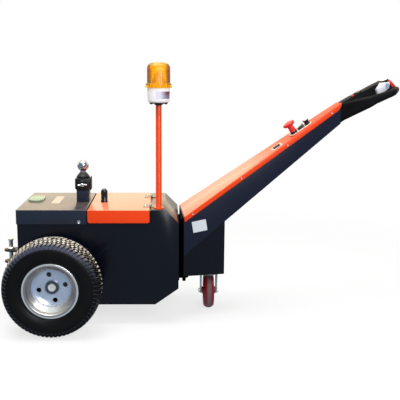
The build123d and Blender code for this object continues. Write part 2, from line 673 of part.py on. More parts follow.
tower_plane, tower_axis = upright(TOWER_X, 0)
BALL_FOOT_Z = HOUSING_TOP_Z + COLLAR_HEIGHT
BALL_Z = BODY_TOP_Z + BALL_ABOVE_DECK
NECK_MEET_Z = BALL_Z - sqrt(BALL_R**2 - BALL_NECK_R**2)
with BuildPart() as coupling_collar:
    with BuildSketch(tower_plane):
        with BuildLine():
            Polyline((0, HOUSING_TOP_Z), (COLLAR_R, HOUSING_TOP_Z),
                     (COLLAR_R, HOUSING_TOP_Z + COLLAR_HEIGHT / 3), (BALL_FOOT_R, BALL_FOOT_Z),
                     (0, BALL_FOOT_Z), close=True)
        make_face()
    revolve(axis=tower_axis)
keep("coupling_collar", coupling_collar)

with BuildPart() as tow_ball:
    with BuildSketch(tower_plane):
        with BuildLine():
            Polyline((0, BALL_Z + BALL_R), (0, BALL_FOOT_Z), (BALL_NECK_R, BALL_FOOT_Z),
                     (BALL_NECK_R, NECK_MEET_Z))
            ThreePointArc((BALL_NECK_R, NECK_MEET_Z), (BALL_R, BALL_Z), (0, BALL_Z + BALL_R))
        make_face()
    revolve(axis=tower_axis)
keep("tow_ball", tow_ball)

LATCH_Z = POST_TOP_Z + HOUSING_HEIGHT / 2
with BuildPart() as coupling_latch:
    with BuildSketch(side_view.offset(HOUSING_SIDE / 2)):
        with Locations((TOWER_X, LATCH_Z)):
            Circle(LATCH_R)
    extrude(amount=LATCH_THICK)
    with BuildSketch(side_view.offset(HOUSING_SIDE / 2 + LATCH_THICK)):
        with Locations((TOWER_X, LATCH_Z)):
            SlotOverall(LATCH_BAR, LATCH_THICK)
    extrude(amount=LATCH_THICK)
keep("coupling_latch", coupling_latch)

# Gauge cover with cut corners
with BuildPart() as gauge_cover:
    with BuildSketch(plan_view.offset(BODY_TOP_Z)) as gauge_face:
        with Locations((GAUGE_X, GAUGE_Y)):
            Rectangle(GAUGE_LENGTH, GAUGE_WIDTH)
        chamfer(gauge_face.vertices(), GAUGE_CORNER)
    extrude(amount=GAUGE_HEIGHT)
    chamfer(gauge_cover.faces().sort_by(Axis.Z)[-1].edges(), GAUGE_HEIGHT / 3)
keep("gauge_cover", gauge_cover)

# Beacon: pole with foot, flanged bracket, moulded base, reflector under a hollow lens
BEACON_X = CREST_X - BEACON_FROM_CREST
BEACON_Y = BEACON_INSET - BODY_WIDTH / 2
beacon_plane, beacon_axis = upright(BEACON_X, BEACON_Y)
POLE_TOP_Z = BODY_TOP_Z + POLE_HEIGHT
BEACON_BASE_Z = POLE_TOP_Z + BRACKET_HEIGHT
LENS_FOOT_Z = BEACON_BASE_Z + BEACON_BASE_HEIGHT
with BuildPart() as beacon_pole:
    with BuildSketch(beacon_plane):
        with BuildLine():
            Polyline((0, BODY_TOP_Z), (POLE_FOOT_R, BODY_TOP_Z),
                     (POLE_FOOT_R, BODY_TOP_Z + POLE_FOOT_HEIGHT), (POLE_R, BODY_TOP_Z + POLE_FOOT_HEIGHT),
                     (POLE_R, POLE_TOP_Z), (0, POLE_TOP_Z), close=True)
        make_face()
    revolve(axis=beacon_axis)
keep("beacon_pole", beacon_pole)

with BuildPart() as beacon_bracket:
    with BuildSketch(plan_view.offset(POLE_TOP_Z)):
        with Locations((BEACON_X, BEACON_Y)):
            RegularPolygon(BRACKET_R, 6)
    extrude(amount=BRACKET_HEIGHT)
    with BuildSketch(plan_view.offset(BEACON_BASE_Z - BRACKET_FLANGE)):
        with Locations((BEACON_X, BEACON_Y)):
            Circle(BRACKET_FLANGE_R)
    extrude(amount=BRACKET_FLANGE)
keep("beacon_bracket", beacon_bracket)

with BuildPart() as beacon_base:
    with BuildSketch(beacon_plane) as base_section:
        with BuildLine():
            Polyline((0, BEACON_BASE_Z), (BEACON_BASE_R, BEACON_BASE_Z), (BEACON_BASE_R, LENS_FOOT_Z),
                     (0, LENS_FOOT_Z), close=True)
        make_face()
        fillet(base_section.vertices().group_by(Axis.Y)[0].sort_by(Axis.X)[-1], radius=BEACON_BASE_ROUND)
    revolve(axis=beacon_axis)
keep("beacon_base", beacon_base)


def lens_outline(inset):
    """Half section of the lens, drawn in from its outer face by an inset."""
    lens_top_z = LENS_FOOT_Z + LENS_HEIGHT - inset
    with BuildSketch(beacon_plane) as section:
        with BuildLine():
            Polyline((0, LENS_FOOT_Z), (LENS_R - inset, LENS_FOOT_Z), (LENS_TOP_R - inset, lens_top_z),
                     (0, lens_top_z), close=True)
        make_face()
        fillet(section.vertices().group_by(Axis.Y)[-1].sort_by(Axis.X)[-1], radius=LENS_ROUND - inset)
    return section.sketch


lens_outside = lens_outline(0)
lens_inside = lens_outline(LENS_WALL)
with BuildPart() as beacon_lens:
    add(lens_outside)
    revolve(axis=beacon_axis)
    with BuildSketch(plan_view.offset(LENS_FOOT_Z)):
        with Locations((BEACON_X, BEACON_Y)):
            Circle(LENS_RING_R)
    extrude(amount=LENS_RING_HEIGHT)
    add(lens_inside)
    revolve(axis=beacon_axis, mode=Mode.SUBTRACT)
keep("beacon_lens", beacon_lens)

with BuildPart() as beacon_reflector:
    with BuildSketch(beacon_plane):
        with BuildLine():
            Polyline((0, LENS_FOOT_Z), (REFLECTOR_R, LENS_FOOT_Z),
                     (REFLECTOR_R, LENS_FOOT_Z + REFLECTOR_HEIGHT / 3),
                     (REFLECTOR_R / 2, LENS_FOOT_Z + REFLECTOR_HEIGHT),
                     (0, LENS_FOOT_Z + REFLECTOR_HEIGHT), close=True)
        make_face()
    revolve(axis=beacon_axis)
keep("beacon_reflector", beacon_reflector)

# Steering hinge on the body: back plate with two ears, and the pin through them
PIN_HEAD_Z = UPPER_EAR_Z + EAR_THICK
STEER_BACK_HEIGHT = PIN_HEAD_Z + STEER_BACK_ABOVE - LOWER_EAR_Z
with BuildPart() as steer_bracket:
    with BuildSketch(side_view):
        with Locations((BODY_HINGE_END + STEER_BACK_THICK / 2, LOWER_EAR_Z + STEER_BACK_HEIGHT / 2)):
            Rectangle(STEER_BACK_THICK, STEER_BACK_HEIGHT)
    extrude(amount=STEER_BACK_HALF, both=True)
    for ear_z in (LOWER_EAR_Z, UPPER_EAR_Z):
        with BuildSketch(plan_view.offset(ear_z)):
            with Locations((BODY_HINGE_END + HINGE_OFFSET / 2, 0)):
                Rectangle(HINGE_OFFSET, 2 * EAR_R)
            with Locations((HINGE_FROM_AXLE, 0)):
                Circle(EAR_R)
                Circle(STEER_PIN_R, mode=Mode.SUBTRACT)
        extrude(amount=EAR_THICK)
keep("steer_bracket", steer_bracket)

steer_plane, steer_axis = upright(HINGE_FROM_AXLE, 0)
with BuildPart() as steer_pin:
    with BuildSketch(steer_plane):
        with BuildLine():
            Polyline((0, LOWER_EAR_Z - PIN_TAIL), (STEER_PIN_R, LOWER_EAR_Z - PIN_TAIL),
                     (STEER_PIN_R, PIN_HEAD_Z), (PIN_HEAD_R, PIN_HEAD_Z),
                     (PIN_HEAD_R, PIN_HEAD_Z + PIN_HEAD_HEIGHT),
                     (0, PIN_HEAD_Z + PIN_HEAD_HEIGHT), close=True)
        make_face()
    revolve(axis=steer_axis)
keep("steer_pin", steer_pin)


def half_width(u):
    """Half the arm's width at a distance u from the steering hinge."""
    return ARM_ROOT_HALF - ARM_TAPER * u


def top_z(u):
    """Height of the cover's top face above the floor."""
    return ARM_TOP_Z + ARM_TOP_SLOPE * u


def under_z(u):
    """Height of the arm's lower edge above the floor."""
    return ARM_UNDER_Z + ARM_UNDER_SLOPE * u


def tapered_block(profile, inset):
    """Solid of a side profile, cut to the arm's tapering plan drawn in by an inset."""
    start = min(point[0] for point in profile)
    end = max(point[0] for point in profile)
    with BuildPart() as block:
        with BuildSketch(tiller_side):
            with BuildLine():
                Polyline(*profile, close=True)
            make_face()
        extrude(amount=2 * ARM_ROOT_HALF, both=True)
        with BuildSketch(tiller_plan):
            with BuildLine():
                Polyline((start, half_width(start) - inset), (end, half_width(end) - inset),
                         (end, inset - half_width(end)), (start, inset - half_width(start)), close=True)
            make_face()
        extrude(amount=2 * top_z(end), mode=Mode.INTERSECT)
    return block.part


def top_plane(u):
    """Plane on the cover's top face, with its own x along the arm."""
    slope = atan(ARM_TOP_SLOPE)
    run, rise = cos(slope), sin(slope)
    foot = tiller_plan.from_local_coords((u, 0, top_z(u)))
    return Plane(origin=foot, x_dir=(YAW_COS * run, YAW_SIN * run, rise),
                 z_dir=(-YAW_COS * rise, -YAW_SIN * rise, run))


# Tiller column: folded box around the hinge barrel, standing on the castor
column_outer = tapered_block([
    (COLUMN_START, COLUMN_BOTTOM_Z), (COLUMN_END, COLUMN_BOTTOM_Z),
    (COLUMN_END, top_z(COLUMN_END) - COVER_SHEET), (COLUMN_START, top_z(COLUMN_START) - COVER_SHEET),
], COLUMN_INSET)
column_inner = tapered_block([
    (COLUMN_START + ARM_SHEET, COLUMN_BOTTOM_Z + COLUMN_FLOOR),
    (COLUMN_END - ARM_SHEET, COLUMN_BOTTOM_Z + COLUMN_FLOOR),
    (COLUMN_END - ARM_SHEET, top_z(COLUMN_END)),
    (COLUMN_START + ARM_SHEET, top_z(COLUMN_END)),
], COLUMN_INSET + ARM_SHEET)
SLOT_TOP_Z = PIN_HEAD_Z + PIN_HEAD_HEIGHT + COLUMN_FLOOR
with BuildPart() as tiller_column:
    add(column_outer)
    add(column_inner, mode=Mode.SUBTRACT)
    with BuildSketch(tiller_plan):
        with Locations((COLUMN_START, 0)):
            Rectangle(2 * ARM_SHEET, 2 * SLOT_HALF)
    extrude(amount=SLOT_TOP_Z, mode=Mode.SUBTRACT)
    with BuildSketch(tiller_plan):
        with Locations(((COLUMN_START + SLOT_HALF) / 2, 0)):
            Rectangle(SLOT_HALF - COLUMN_START, 2 * SLOT_HALF)
    extrude(amount=COLUMN_BOTTOM_Z + COLUMN_FLOOR, mode=Mode.SUBTRACT)
keep("tiller_column", tiller_column)

# Tiller arm: folded trough that the column passes up through
arm_outer = tapered_block([
    (COLUMN_START, under_z(COLUMN_START)), (ARM_END, under_z(ARM_END)),
    (ARM_END, top_z(ARM_END) - COVER_SHEET), (COLUMN_START, top_z(COLUMN_START) - COVER_SHEET),
], 0)
arm_inner = tapered_block([
    (COLUMN_START + ARM_SHEET, under_z(COLUMN_START) + 2 * ARM_SHEET),
    (ARM_END, under_z(ARM_END) + ARM_SHEET), (ARM_END, top_z(ARM_END)),
    (COLUMN_START + ARM_SHEET, top_z(COLUMN_START)),
], ARM_SHEET)
with BuildPart() as tiller_arm:
    add(arm_outer)
    add(arm_inner, mode=Mode.SUBTRACT)
    add(column_outer, mode=Mode.SUBTRACT)
keep("tiller_arm", tiller_arm)

# Cover: folded sheet with a flange down each side of the arm
cover_outer = tapered_block([
    (COVER_START, top_z(COVER_START) - COVER_FLANGE),
    (ARM_END - COVER_NOSE, top_z(ARM_END - COVER_NOSE) - COVER_FLANGE),
    (ARM_END, top_z(ARM_END) - COVER_FLANGE + COVER_NOSE),
    (ARM_END, top_z(ARM_END)),
    (COVER_START, top_z(COVER_START)),
], -COVER_SHEET)
cover_inner = tapered_block([
    (COVER_START, top_z(COVER_START) - 2 * COVER_FLANGE), (ARM_END, top_z(ARM_END) - 2 * COVER_FLANGE),
    (ARM_END, top_z(ARM_END) - COVER_SHEET), (COVER_START, top_z(COVER_START) - COVER_SHEET),
], 0)
with BuildPart() as tiller_cover:
    add(cover_outer)
    add(cover_inner, mode=Mode.SUBTRACT)
keep("tiller_cover", tiller_cover)

# Hinge barrel with the wing plate that is welded inside the column's front wall
BARREL_BOTTOM_Z = LOWER_EAR_Z + EAR_THICK + END_CLEAR
BARREL_TOP_Z = UPPER_EAR_Z - END_CLEAR
WING_HALF = 2 * SLOT_HALF
with BuildPart() as steer_barrel:
    with BuildSketch(tiller_plan.offset(BARREL_BOTTOM_Z)):
        Circle(BARREL_R)
    extrude(amount=BARREL_TOP_Z - BARREL_BOTTOM_Z)
    with BuildSketch(tiller_plan.offset(COLUMN_BOTTOM_Z + COLUMN_FLOOR)):
        with Locations((COLUMN_START + ARM_SHEET + WING_PLATE / 2, 0)):
            Rectangle(WING_PLATE, 2 * WING_HALF)
    extrude(amount=BARREL_TOP_Z - COLUMN_BOTTOM_Z - 3 * COLUMN_FLOOR)
    with BuildSketch(tiller_plan):
        Circle(STEER_PIN_R + RUN_CLEAR)
    extrude(amount=BARREL_TOP_Z, mode=Mode.SUBTRACT)
keep("steer_barrel", steer_barrel)

# Controls on the arm: panel, emergency stop, key switch
with BuildPart() as switch_panel:
    with BuildSketch(top_plane(PANEL_U)):
        RectangleRounded(PANEL_LENGTH, PANEL_WIDTH, PANEL_CORNER)
    extrude(amount=PANEL_THICK)
keep("switch_panel", switch_panel)

with BuildPart() as estop_base:
    with BuildSketch(top_plane(ESTOP_U).offset(PANEL_THICK)):
        Circle(ESTOP_BASE_R)
    extrude(amount=ESTOP_BASE_HEIGHT)
keep("estop_base", estop_base)

estop_plane = top_plane(ESTOP_U).offset(PANEL_THICK + ESTOP_BASE_HEIGHT)
with BuildPart() as estop_button:
    with BuildSketch(estop_plane.offset(ESTOP_NECK_HEIGHT)):
        Circle(ESTOP_HEAD_R)
    extrude(amount=ESTOP_HEAD_HEIGHT)
    fillet(estop_button.edges(), radius=ESTOP_HEAD_HEIGHT / 3)
    with BuildSketch(estop_plane):
        Circle(ESTOP_NECK_R)
    extrude(amount=ESTOP_NECK_HEIGHT + ESTOP_HEAD_HEIGHT / 2)
keep("estop_button", estop_button)

with BuildPart() as key_switch:
    with BuildSketch(top_plane(KEY_U).offset(PANEL_THICK)):
        Circle(KEY_R)
    extrude(amount=KEY_HEIGHT)
    chamfer(key_switch.faces().sort_by(Axis.Z)[-1].edges(), KEY_R / 6)
keep("key_switch", key_switch)

# Control head: loop grip that thins towards its end, with the pod for thumb controls over its middle
HEAD_TOP_Z = top_z(ARM_END)
GRIP_END_Z = HEAD_TOP_Z + HEAD_RISE
ROOT_HALF = half_width(ARM_END)
HOLE_HALF = GRIP_HALF_WIDTH - GRIP_BAR
HOLE_START = ARM_END + HOLE_FROM_ARM
HOLE_END = HEAD_END - GRIP_BAR
DRAW_START = HEAD_END - GRIP_END_DRAW
END_HALF = GRIP_HALF_WIDTH - GRIP_END_ROUND
grip_side = [
    (ARM_END, under_z(ARM_END) + HEAD_STEP),
    (ARM_END + KNEE_RUN, HEAD_TOP_Z),
    (HEAD_END, GRIP_END_Z - GRIP_END_DEPTH),
    (HEAD_END, GRIP_END_Z),
    (ARM_END, HEAD_TOP_Z - COVER_SHEET),
]


def is_grip_rim(edge):
    """True for an edge between a side of the grip and its upper or lower face."""
    run = tiller_plan.to_local_coords(edge.center()).X
    lengthwise = abs(edge.tangent_at(0.5).Z) < 0.9
    across_knee = edge.geom_type == GeomType.LINE and abs(run - ARM_END - KNEE_RUN) < GRIP_FILLET
    return run > ARM_END + RUN_CLEAR and lengthwise and not across_knee


with BuildPart() as grip_ring:
    with BuildSketch(tiller_plan) as grip_plan:
        with BuildLine():
            Polyline((ARM_END, ROOT_HALF), (ARM_END + GRIP_FLARE, GRIP_HALF_WIDTH),
                     (DRAW_START, GRIP_HALF_WIDTH), (HEAD_END, END_HALF), (HEAD_END, -END_HALF),
                     (DRAW_START, -GRIP_HALF_WIDTH), (ARM_END + GRIP_FLARE, -GRIP_HALF_WIDTH),
                     (ARM_END, -ROOT_HALF), close=True)
        make_face()
        fillet(grip_plan.vertices().sort_by(Axis.X)[2:], radius=GRIP_BAR)
    extrude(amount=2 * HEAD_TOP_Z)
    with BuildSketch(tiller_side):
        with BuildLine():
            Polyline(*grip_side, close=True)
        make_face()
    extrude(amount=2 * GRIP_HALF_WIDTH, both=True, mode=Mode.INTERSECT)
    for side in (-1, 1):
        with BuildSketch(tiller_plan) as finger_hole:
            with BuildLine():
                Polyline((HOLE_START, side * POD_HALF), (HOLE_START + HOLE_LEAN, side * HOLE_HALF),
                         (HOLE_END - HOLE_END_LEAN, side * HOLE_HALF), (HOLE_END, side * POD_HALF),
                         close=True)
            make_face()
            fillet(finger_hole.vertices(), radius=HOLE_FILLET)
        extrude(amount=2 * HEAD_TOP_Z, mode=Mode.SUBTRACT)
    fillet(grip_ring.edges().filter_by(is_grip_rim), radius=GRIP_FILLET)

pod_outline = [
    (ARM_END, HEAD_TOP_Z - COVER_SHEET),
    *[(ARM_END + run, HEAD_TOP_Z + rise) for run, rise in POD_TOP],
    (HEAD_END - BELLY_BACK - BELLY_LIP, GRIP_END_Z + BELLY_LIP),
    (HEAD_END - BELLY_BACK + GRIP_END_DEPTH, GRIP_END_Z - GRIP_END_DEPTH),
    (HEAD_END - GRIP_END_DEPTH, GRIP_END_Z - GRIP_END_DEPTH),
    (ARM_END + KNEE_RUN, HEAD_TOP_Z),
    (ARM_END, under_z(ARM_END) + HEAD_STEP),
]
belly_plane = Plane(origin=tiller_plan.from_local_coords((HEAD_END - BELLY_BACK, 0, GRIP_END_Z)),
                    x_dir=(YAW_COS, YAW_SIN, -1), z_dir=(YAW_COS, YAW_SIN, 1))
with BuildPart() as control_head:
    with BuildSketch(tiller_side):
        with BuildLine():
            Polyline(*pod_outline, close=True)
        make_face()
    extrude(amount=POD_HALF, both=True)
    add(grip_ring.part)
    with BuildSketch(belly_plane):
        Rectangle(BELLY_LENGTH, 2 * BELLY_HALF)
    extrude(amount=GRIP_BAR, mode=Mode.SUBTRACT)
keep("control_head", control_head)

# Throttle wings on both sides of the pod, one solid each
with BuildPart() as throttle_wings:
    for side in (-1, 1):
        with BuildSketch(tiller_side.offset(side * POD_HALF)):
            with BuildLine():
                Polyline(*[(ARM_END + run, HEAD_TOP_Z + rise) for run, rise in WING_OUTLINE], close=True)
            make_face()
        extrude(amount=side * (WING_HALF_OUT - POD_HALF))
keep("throttle_wings", throttle_wings)

# Belly button in its pocket on the end of the pod
with BuildPart() as belly_button:
    with BuildSketch(belly_plane):
        RectangleRounded(BELLY_LENGTH, 2 * BELLY_HALF, 2 * BELLY_ROUND)
    extrude(amount=BELLY_DEPTH)
    outer_face = belly_button.faces().sort_by(Axis(belly_plane.origin, belly_plane.z_dir))[-1]
    fillet(outer_face.edges(), radius=BELLY_ROUND)
keep("belly_button", belly_button)

# Castor: plate with race and kingpin, swivelling fork, axle bolt, wheel
castor_foot = tiller_plan.from_local_coords((CASTOR_U, 0, 0))
heading = radians(CASTOR_HEADING)
trail_dir = (cos(heading), sin(heading), 0)
axle_dir = (sin(heading), -cos(heading), 0)
castor_plan = Plane(origin=castor_foot, x_dir=trail_dir, z_dir=(0, 0, 1))
castor_side = Plane(origin=castor_foot, x_dir=trail_dir, z_dir=axle_dir)
with BuildPart() as castor_plate:
    with BuildSketch(tiller_plan.offset(PLATE_BOTTOM_Z)):
        with Locations((CASTOR_U, 0)):
            RectangleRounded(CASTOR_PLATE_LENGTH, CASTOR_PLATE_WIDTH, CASTOR_PLATE_THICK)
    extrude(amount=CASTOR_PLATE_THICK)
    with BuildSketch(castor_plan.offset(RACE_BOTTOM_Z)):
        Circle(RACE_R)
    extrude(amount=RACE_HEIGHT)
    with BuildSketch(castor_plan.offset(FORK_CROWN_Z)):
        Circle(KINGPIN_R)
    extrude(amount=PLATE_BOTTOM_Z - FORK_CROWN_Z)
keep("castor_plate", castor_plate)

FORK_INNER_HALF = CASTOR_HUB_WIDTH / 2 + FORK_CLEAR
FORK_HALF = FORK_INNER_HALF + FORK_PLATE
with BuildPart() as castor_fork:
    with BuildSketch(castor_plan.offset(FORK_CROWN_Z)):
        Circle(FORK_HALF)
        with Locations((CASTOR_TRAIL / 2, 0)):
            Rectangle(2 * RACE_R, 2 * FORK_HALF)
    extrude(amount=FORK_CROWN_THICK)
    for side in (-1, 1):
        with BuildSketch(castor_side.offset(side * FORK_INNER_HALF)):
            with BuildLine():
                Polyline((CASTOR_TRAIL / 2 - RACE_R, CROWN_TOP_Z), (CASTOR_TRAIL / 2 + RACE_R, CROWN_TOP_Z),
                         (CASTOR_TRAIL + FORK_EYE_R, CASTOR_R), (CASTOR_TRAIL - FORK_EYE_R, CASTOR_R),
                         close=True)
            make_face()
            with Locations((CASTOR_TRAIL, CASTOR_R)):
                Circle(FORK_EYE_R)
                Circle(CASTOR_BOLT_R, mode=Mode.SUBTRACT)
        extrude(amount=side * FORK_PLATE)
    with BuildSketch(castor_plan.offset(FORK_CROWN_Z)):
        Circle(KINGPIN_R + RUN_CLEAR)
    extrude(amount=FORK_CROWN_THICK, mode=Mode.SUBTRACT)
keep("castor_fork", castor_fork)

with BuildPart() as castor_axle:
    with BuildSketch(castor_side):
        with Locations((CASTOR_TRAIL, CASTOR_R)):
            Circle(CASTOR_BOLT_R)
    extrude(amount=FORK_HALF + CASTOR_NUT_THICK, both=True)
    for side in (-1, 1):
        with BuildSketch(castor_side.offset(side * FORK_HALF)):
            with Locations((CASTOR_TRAIL, CASTOR_R)):
                RegularPolygon(CASTOR_NUT_R, 6)
        extrude(amount=side * CASTOR_NUT_THICK)
keep("castor_axle", castor_axle)

castor_centre = castor_plan.from_local_coords((CASTOR_TRAIL, 0, CASTOR_R))
castor_wheel_plane = Plane(origin=castor_centre, x_dir=axle_dir, z_dir=(-trail_dir[0], -trail_dir[1], 0))
castor_axis = Axis(castor_centre, axle_dir)
CASTOR_TYRE_HALF = CASTOR_TYRE_WIDTH / 2
CASTOR_HUB_HALF = CASTOR_HUB_WIDTH / 2
CASTOR_BORE_R = CASTOR_BOLT_R + RUN_CLEAR
CASTOR_RIM_HALF = CASTOR_TYRE_HALF - CASTOR_HUB_INSET
FLARE_R = CASTOR_BOSS_R + CASTOR_BOSS_FLARE
LIP_R = CASTOR_HUB_R - CASTOR_RIM_LIP
RIM_UNDER_R = CASTOR_HUB_R - CASTOR_RIM_THICK
with BuildPart() as castor_hub:
    with BuildSketch(castor_wheel_plane):
        with BuildLine():
            Polyline((-CASTOR_HUB_HALF, CASTOR_BORE_R), (CASTOR_HUB_HALF, CASTOR_BORE_R),
                     (CASTOR_HUB_HALF, CASTOR_BOSS_R), (CASTOR_WEB_HALF, FLARE_R), (CASTOR_WEB_HALF, LIP_R),
                     (CASTOR_RIM_HALF, RIM_UNDER_R), (CASTOR_RIM_HALF, CASTOR_HUB_R),
                     (-CASTOR_RIM_HALF, CASTOR_HUB_R), (-CASTOR_RIM_HALF, RIM_UNDER_R),
                     (-CASTOR_WEB_HALF, LIP_R), (-CASTOR_WEB_HALF, FLARE_R),
                     (-CASTOR_HUB_HALF, CASTOR_BOSS_R), close=True)
        make_face()
    revolve(axis=castor_axis)
keep("castor_hub", castor_hub)

TREAD_SIDE_R = CASTOR_R - CASTOR_TYRE_CROWN
with BuildPart() as castor_tyre:
    with BuildSketch(castor_wheel_plane):
        with BuildLine():
            Polyline((-CASTOR_TYRE_HALF, TREAD_SIDE_R), (-CASTOR_RIM_HALF, CASTOR_HUB_R),
                     (CASTOR_RIM_HALF, CASTOR_HUB_R), (CASTOR_TYRE_HALF, TREAD_SIDE_R))
            ThreePointArc((CASTOR_TYRE_HALF, TREAD_SIDE_R), (0, CASTOR_R), (-CASTOR_TYRE_HALF, TREAD_SIDE_R))
        make_face()
    revolve(axis=castor_axis)
keep("castor_tyre", castor_tyre)
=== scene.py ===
import json
from math import atan, cos, pi, radians, sin, sqrt, tau

import bmesh
import bpy
from mathutils import Matrix, Vector


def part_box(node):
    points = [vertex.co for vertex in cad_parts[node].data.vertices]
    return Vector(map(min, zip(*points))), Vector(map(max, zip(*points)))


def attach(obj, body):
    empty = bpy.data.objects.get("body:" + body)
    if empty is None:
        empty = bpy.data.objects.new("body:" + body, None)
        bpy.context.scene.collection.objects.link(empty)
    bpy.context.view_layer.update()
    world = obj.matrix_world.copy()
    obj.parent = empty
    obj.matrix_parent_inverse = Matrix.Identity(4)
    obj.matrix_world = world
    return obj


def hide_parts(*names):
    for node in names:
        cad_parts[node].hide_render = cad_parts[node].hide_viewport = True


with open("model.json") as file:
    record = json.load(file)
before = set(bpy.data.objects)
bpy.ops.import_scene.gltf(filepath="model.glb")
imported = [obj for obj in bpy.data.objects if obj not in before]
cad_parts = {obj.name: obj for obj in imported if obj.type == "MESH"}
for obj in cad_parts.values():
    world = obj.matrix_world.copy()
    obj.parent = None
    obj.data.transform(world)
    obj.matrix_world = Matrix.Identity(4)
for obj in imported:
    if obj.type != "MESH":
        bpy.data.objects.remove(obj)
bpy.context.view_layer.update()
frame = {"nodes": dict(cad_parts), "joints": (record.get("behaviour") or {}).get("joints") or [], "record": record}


# Body shell: the folded sheet-steel box that carries everything, welded at its corners and powder
# coated dark navy. The press brake leaves a small round on each fold, and the coat a fine orange peel.
class Shade:
    """A socket in a finish's nodes. Sums and products of it add Math nodes."""

    def __init__(self, socket):
        self.socket = socket
        self.tree = socket.id_data

    def node(self, kind, settings=(), sockets=(), out=0):
        """Add a node, with its settings made first and then the values or links of its sockets."""
        made = self.tree.nodes.new("ShaderNode" + kind)
        for name, value in dict(settings).items():
            setattr(made, name, value)
        for name, value in dict(sockets).items():
            if isinstance(value, Shade):
                self.tree.links.new(value.socket, made.inputs[name])
            else:
                made.inputs[name].default_value = value
        return Shade(made.outputs[out])

    def math(self, operation, first, second):
        return self.node("Math", {"operation": operation}, {0: first, 1: second})

    def __add__(self, other):
        return self.math("ADD", self, other)

    def __sub__(self, other):
        return self.math("SUBTRACT", self, other)

    def __rsub__(self, other):
        return self.math("SUBTRACT", other, self)

    def __mul__(self, other):
        return self.math("MULTIPLY", self, other)

    __radd__ = __add__
    __rmul__ = __mul__

    def noise(self, scale, detail=2.0):
        """Even noise from 0 to 1, drawn in these coordinates."""
        return self.node("TexNoise", {}, {"Vector": self, "Scale": scale, "Detail": detail}, "Fac")

    def part(self, axis):
        """One coordinate, X, Y or Z, of these coordinates."""
        return self.node("SeparateXYZ", {}, {"Vector": self}, axis)

    def facing_up(self):
        """How far the surface faces up, from 1 on a level top to -1 underneath."""
        return self.node("NewGeometry", out="Normal").part("Z")

    def between(self, low, high):
        """This value as it climbs smoothly from 0 at low to 1 at high."""
        return self.node("MapRange", {"interpolation_type": "SMOOTHSTEP"},
                         {"Value": self, "From Min": low, "From Max": high}, "Result")

    def mix(self, first, second):
        """Colour that goes from the first to the second as this value goes from 0 to 1."""
        return self.node("Mix", {"data_type": "RGBA"}, {0: self, 6: first, 7: second}, 2)

    def bump(self, depth):
        """Surface bent by this value as a height, the depth being the height of 1."""
        return self.node("Bump", {}, {"Height": self, "Distance": depth})


def rgb(red, green, blue):
    """Scene colour of a screen colour given in bytes."""
    return (*(((byte / 255 + 0.055) / 1.055) ** 2.4 for byte in (red, green, blue)), 1.0)


def start_finish(name, **fixed):
    """A new material with its fixed shader values, its shader and its coordinates."""
    material = bpy.data.materials.new(name)
    material.use_nodes = True
    shader = material.node_tree.nodes["Principled BSDF"]
    for socket, value in fixed.items():
        shader.inputs[socket.replace("_", " ")].default_value = value
    coordinates = material.node_tree.nodes.new("ShaderNodeTexCoord")
    return material, shader, Shade(coordinates.outputs["Object"])


def feed(shader, **sockets):
    """Link what changes over the surface to the shader."""
    for socket, value in sockets.items():
        shader.id_data.links.new(value.socket, shader.inputs[socket.replace("_", " ")])


DUST_AND_SHEEN = rgb(158, 134, 106)
COAT_CLOUDS, PEEL_SCALE, PEEL_DEPTH = 7.0, 520.0, 0.00003


def powder_coat(name, light, dark, dull, dust_and_sheen, ior=1.5):
    """Powder coat: colour a little uneven, orange peel in the gloss, dust and painted sheen on what faces up."""
    material, shader, at = start_finish(name, IOR=ior)
    cloud = at.noise(COAT_CLOUDS, 4.0)
    # Dust and painted sheen: faces that turn up are mixed towards a warm beige, partly settled dust and partly a
    # painted warm reflection.
    dust_and_sheen_cover = at.facing_up().between(0.3, 1.0) * cloud.between(0.2, 0.8) * dust_and_sheen
    feed(shader, Base_Color=dust_and_sheen_cover.mix(cloud.mix(dark, light), DUST_AND_SHEEN), Roughness=dull + 0.08 * cloud,
         Normal=at.noise(PEEL_SCALE).bump(PEEL_DEPTH))
    return material


SEAM_GAP, FLAT_TURN = 0.00001, 0.5


def solid_form(node):
    """Mesh of a solid with its seams closed and its flat faces whole."""
    form = bmesh.new()
    form.from_mesh(frame["nodes"][node].data)
    bmesh.ops.remove_doubles(form, verts=form.verts, dist=SEAM_GAP)
    bmesh.ops.dissolve_limit(form, angle_limit=radians(FLAT_TURN), verts=form.verts, edges=form.edges)
    return form


def round_edges(form, width, segments=2, least_turn=40.0):
    """Round the sharp edges of a mesh."""
    sharp = [edge for edge in form.edges
             if edge.is_manifold and edge.calc_face_angle() > radians(least_turn)]
    bmesh.ops.bevel(form, geom=sharp, offset=width, segments=segments, profile=0.5, affect="EDGES",
                    material=-1, clamp_overlap=True)


body_of = {node: body for body, nodes in frame["record"]["behaviour"]["bodies"].items() for node in nodes}
slot_of = {row["node"]: row["material_slot"] for row in frame["record"]["subparts"]}


def place(name, form, finish, body, slot, *solids, crease=35.0):
    """Make a finished mesh a piece of a body, in place of the solids that it stands for."""
    mesh = bpy.data.meshes.new(name)
    form.to_mesh(mesh)
    form.free()
    mesh.materials.append(finish)
    mesh.shade_smooth()
    mesh.set_sharp_from_angle(angle=radians(crease))
    piece = bpy.data.objects.new(name, mesh)
    bpy.context.scene.collection.objects.link(piece)
    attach(piece, body)
    if solids:
        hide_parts(*solids)


def dress(node, finish, width):
    """Stand in for a solid with the same form, its edges rounded and its finish on."""
    form = solid_form(node)
    round_edges(form, width)
    place(node + "_dressed", form, finish, body_of[node], slot_of[node], node)


def coat(node, finish):
    """Put a finish on a solid that shows as it is."""
    slots = frame["nodes"][node].data.materials
    slots.clear()
    slots.append(finish)


FOLD_ROUND = 0.0012
navy = powder_coat("navy_coat", rgb(9, 13, 25), rgb(6, 9, 19), 0.2, 0.45, 1.36)
dress("body_shell", navy, FOLD_ROUND)
coat("bulkhead", navy)

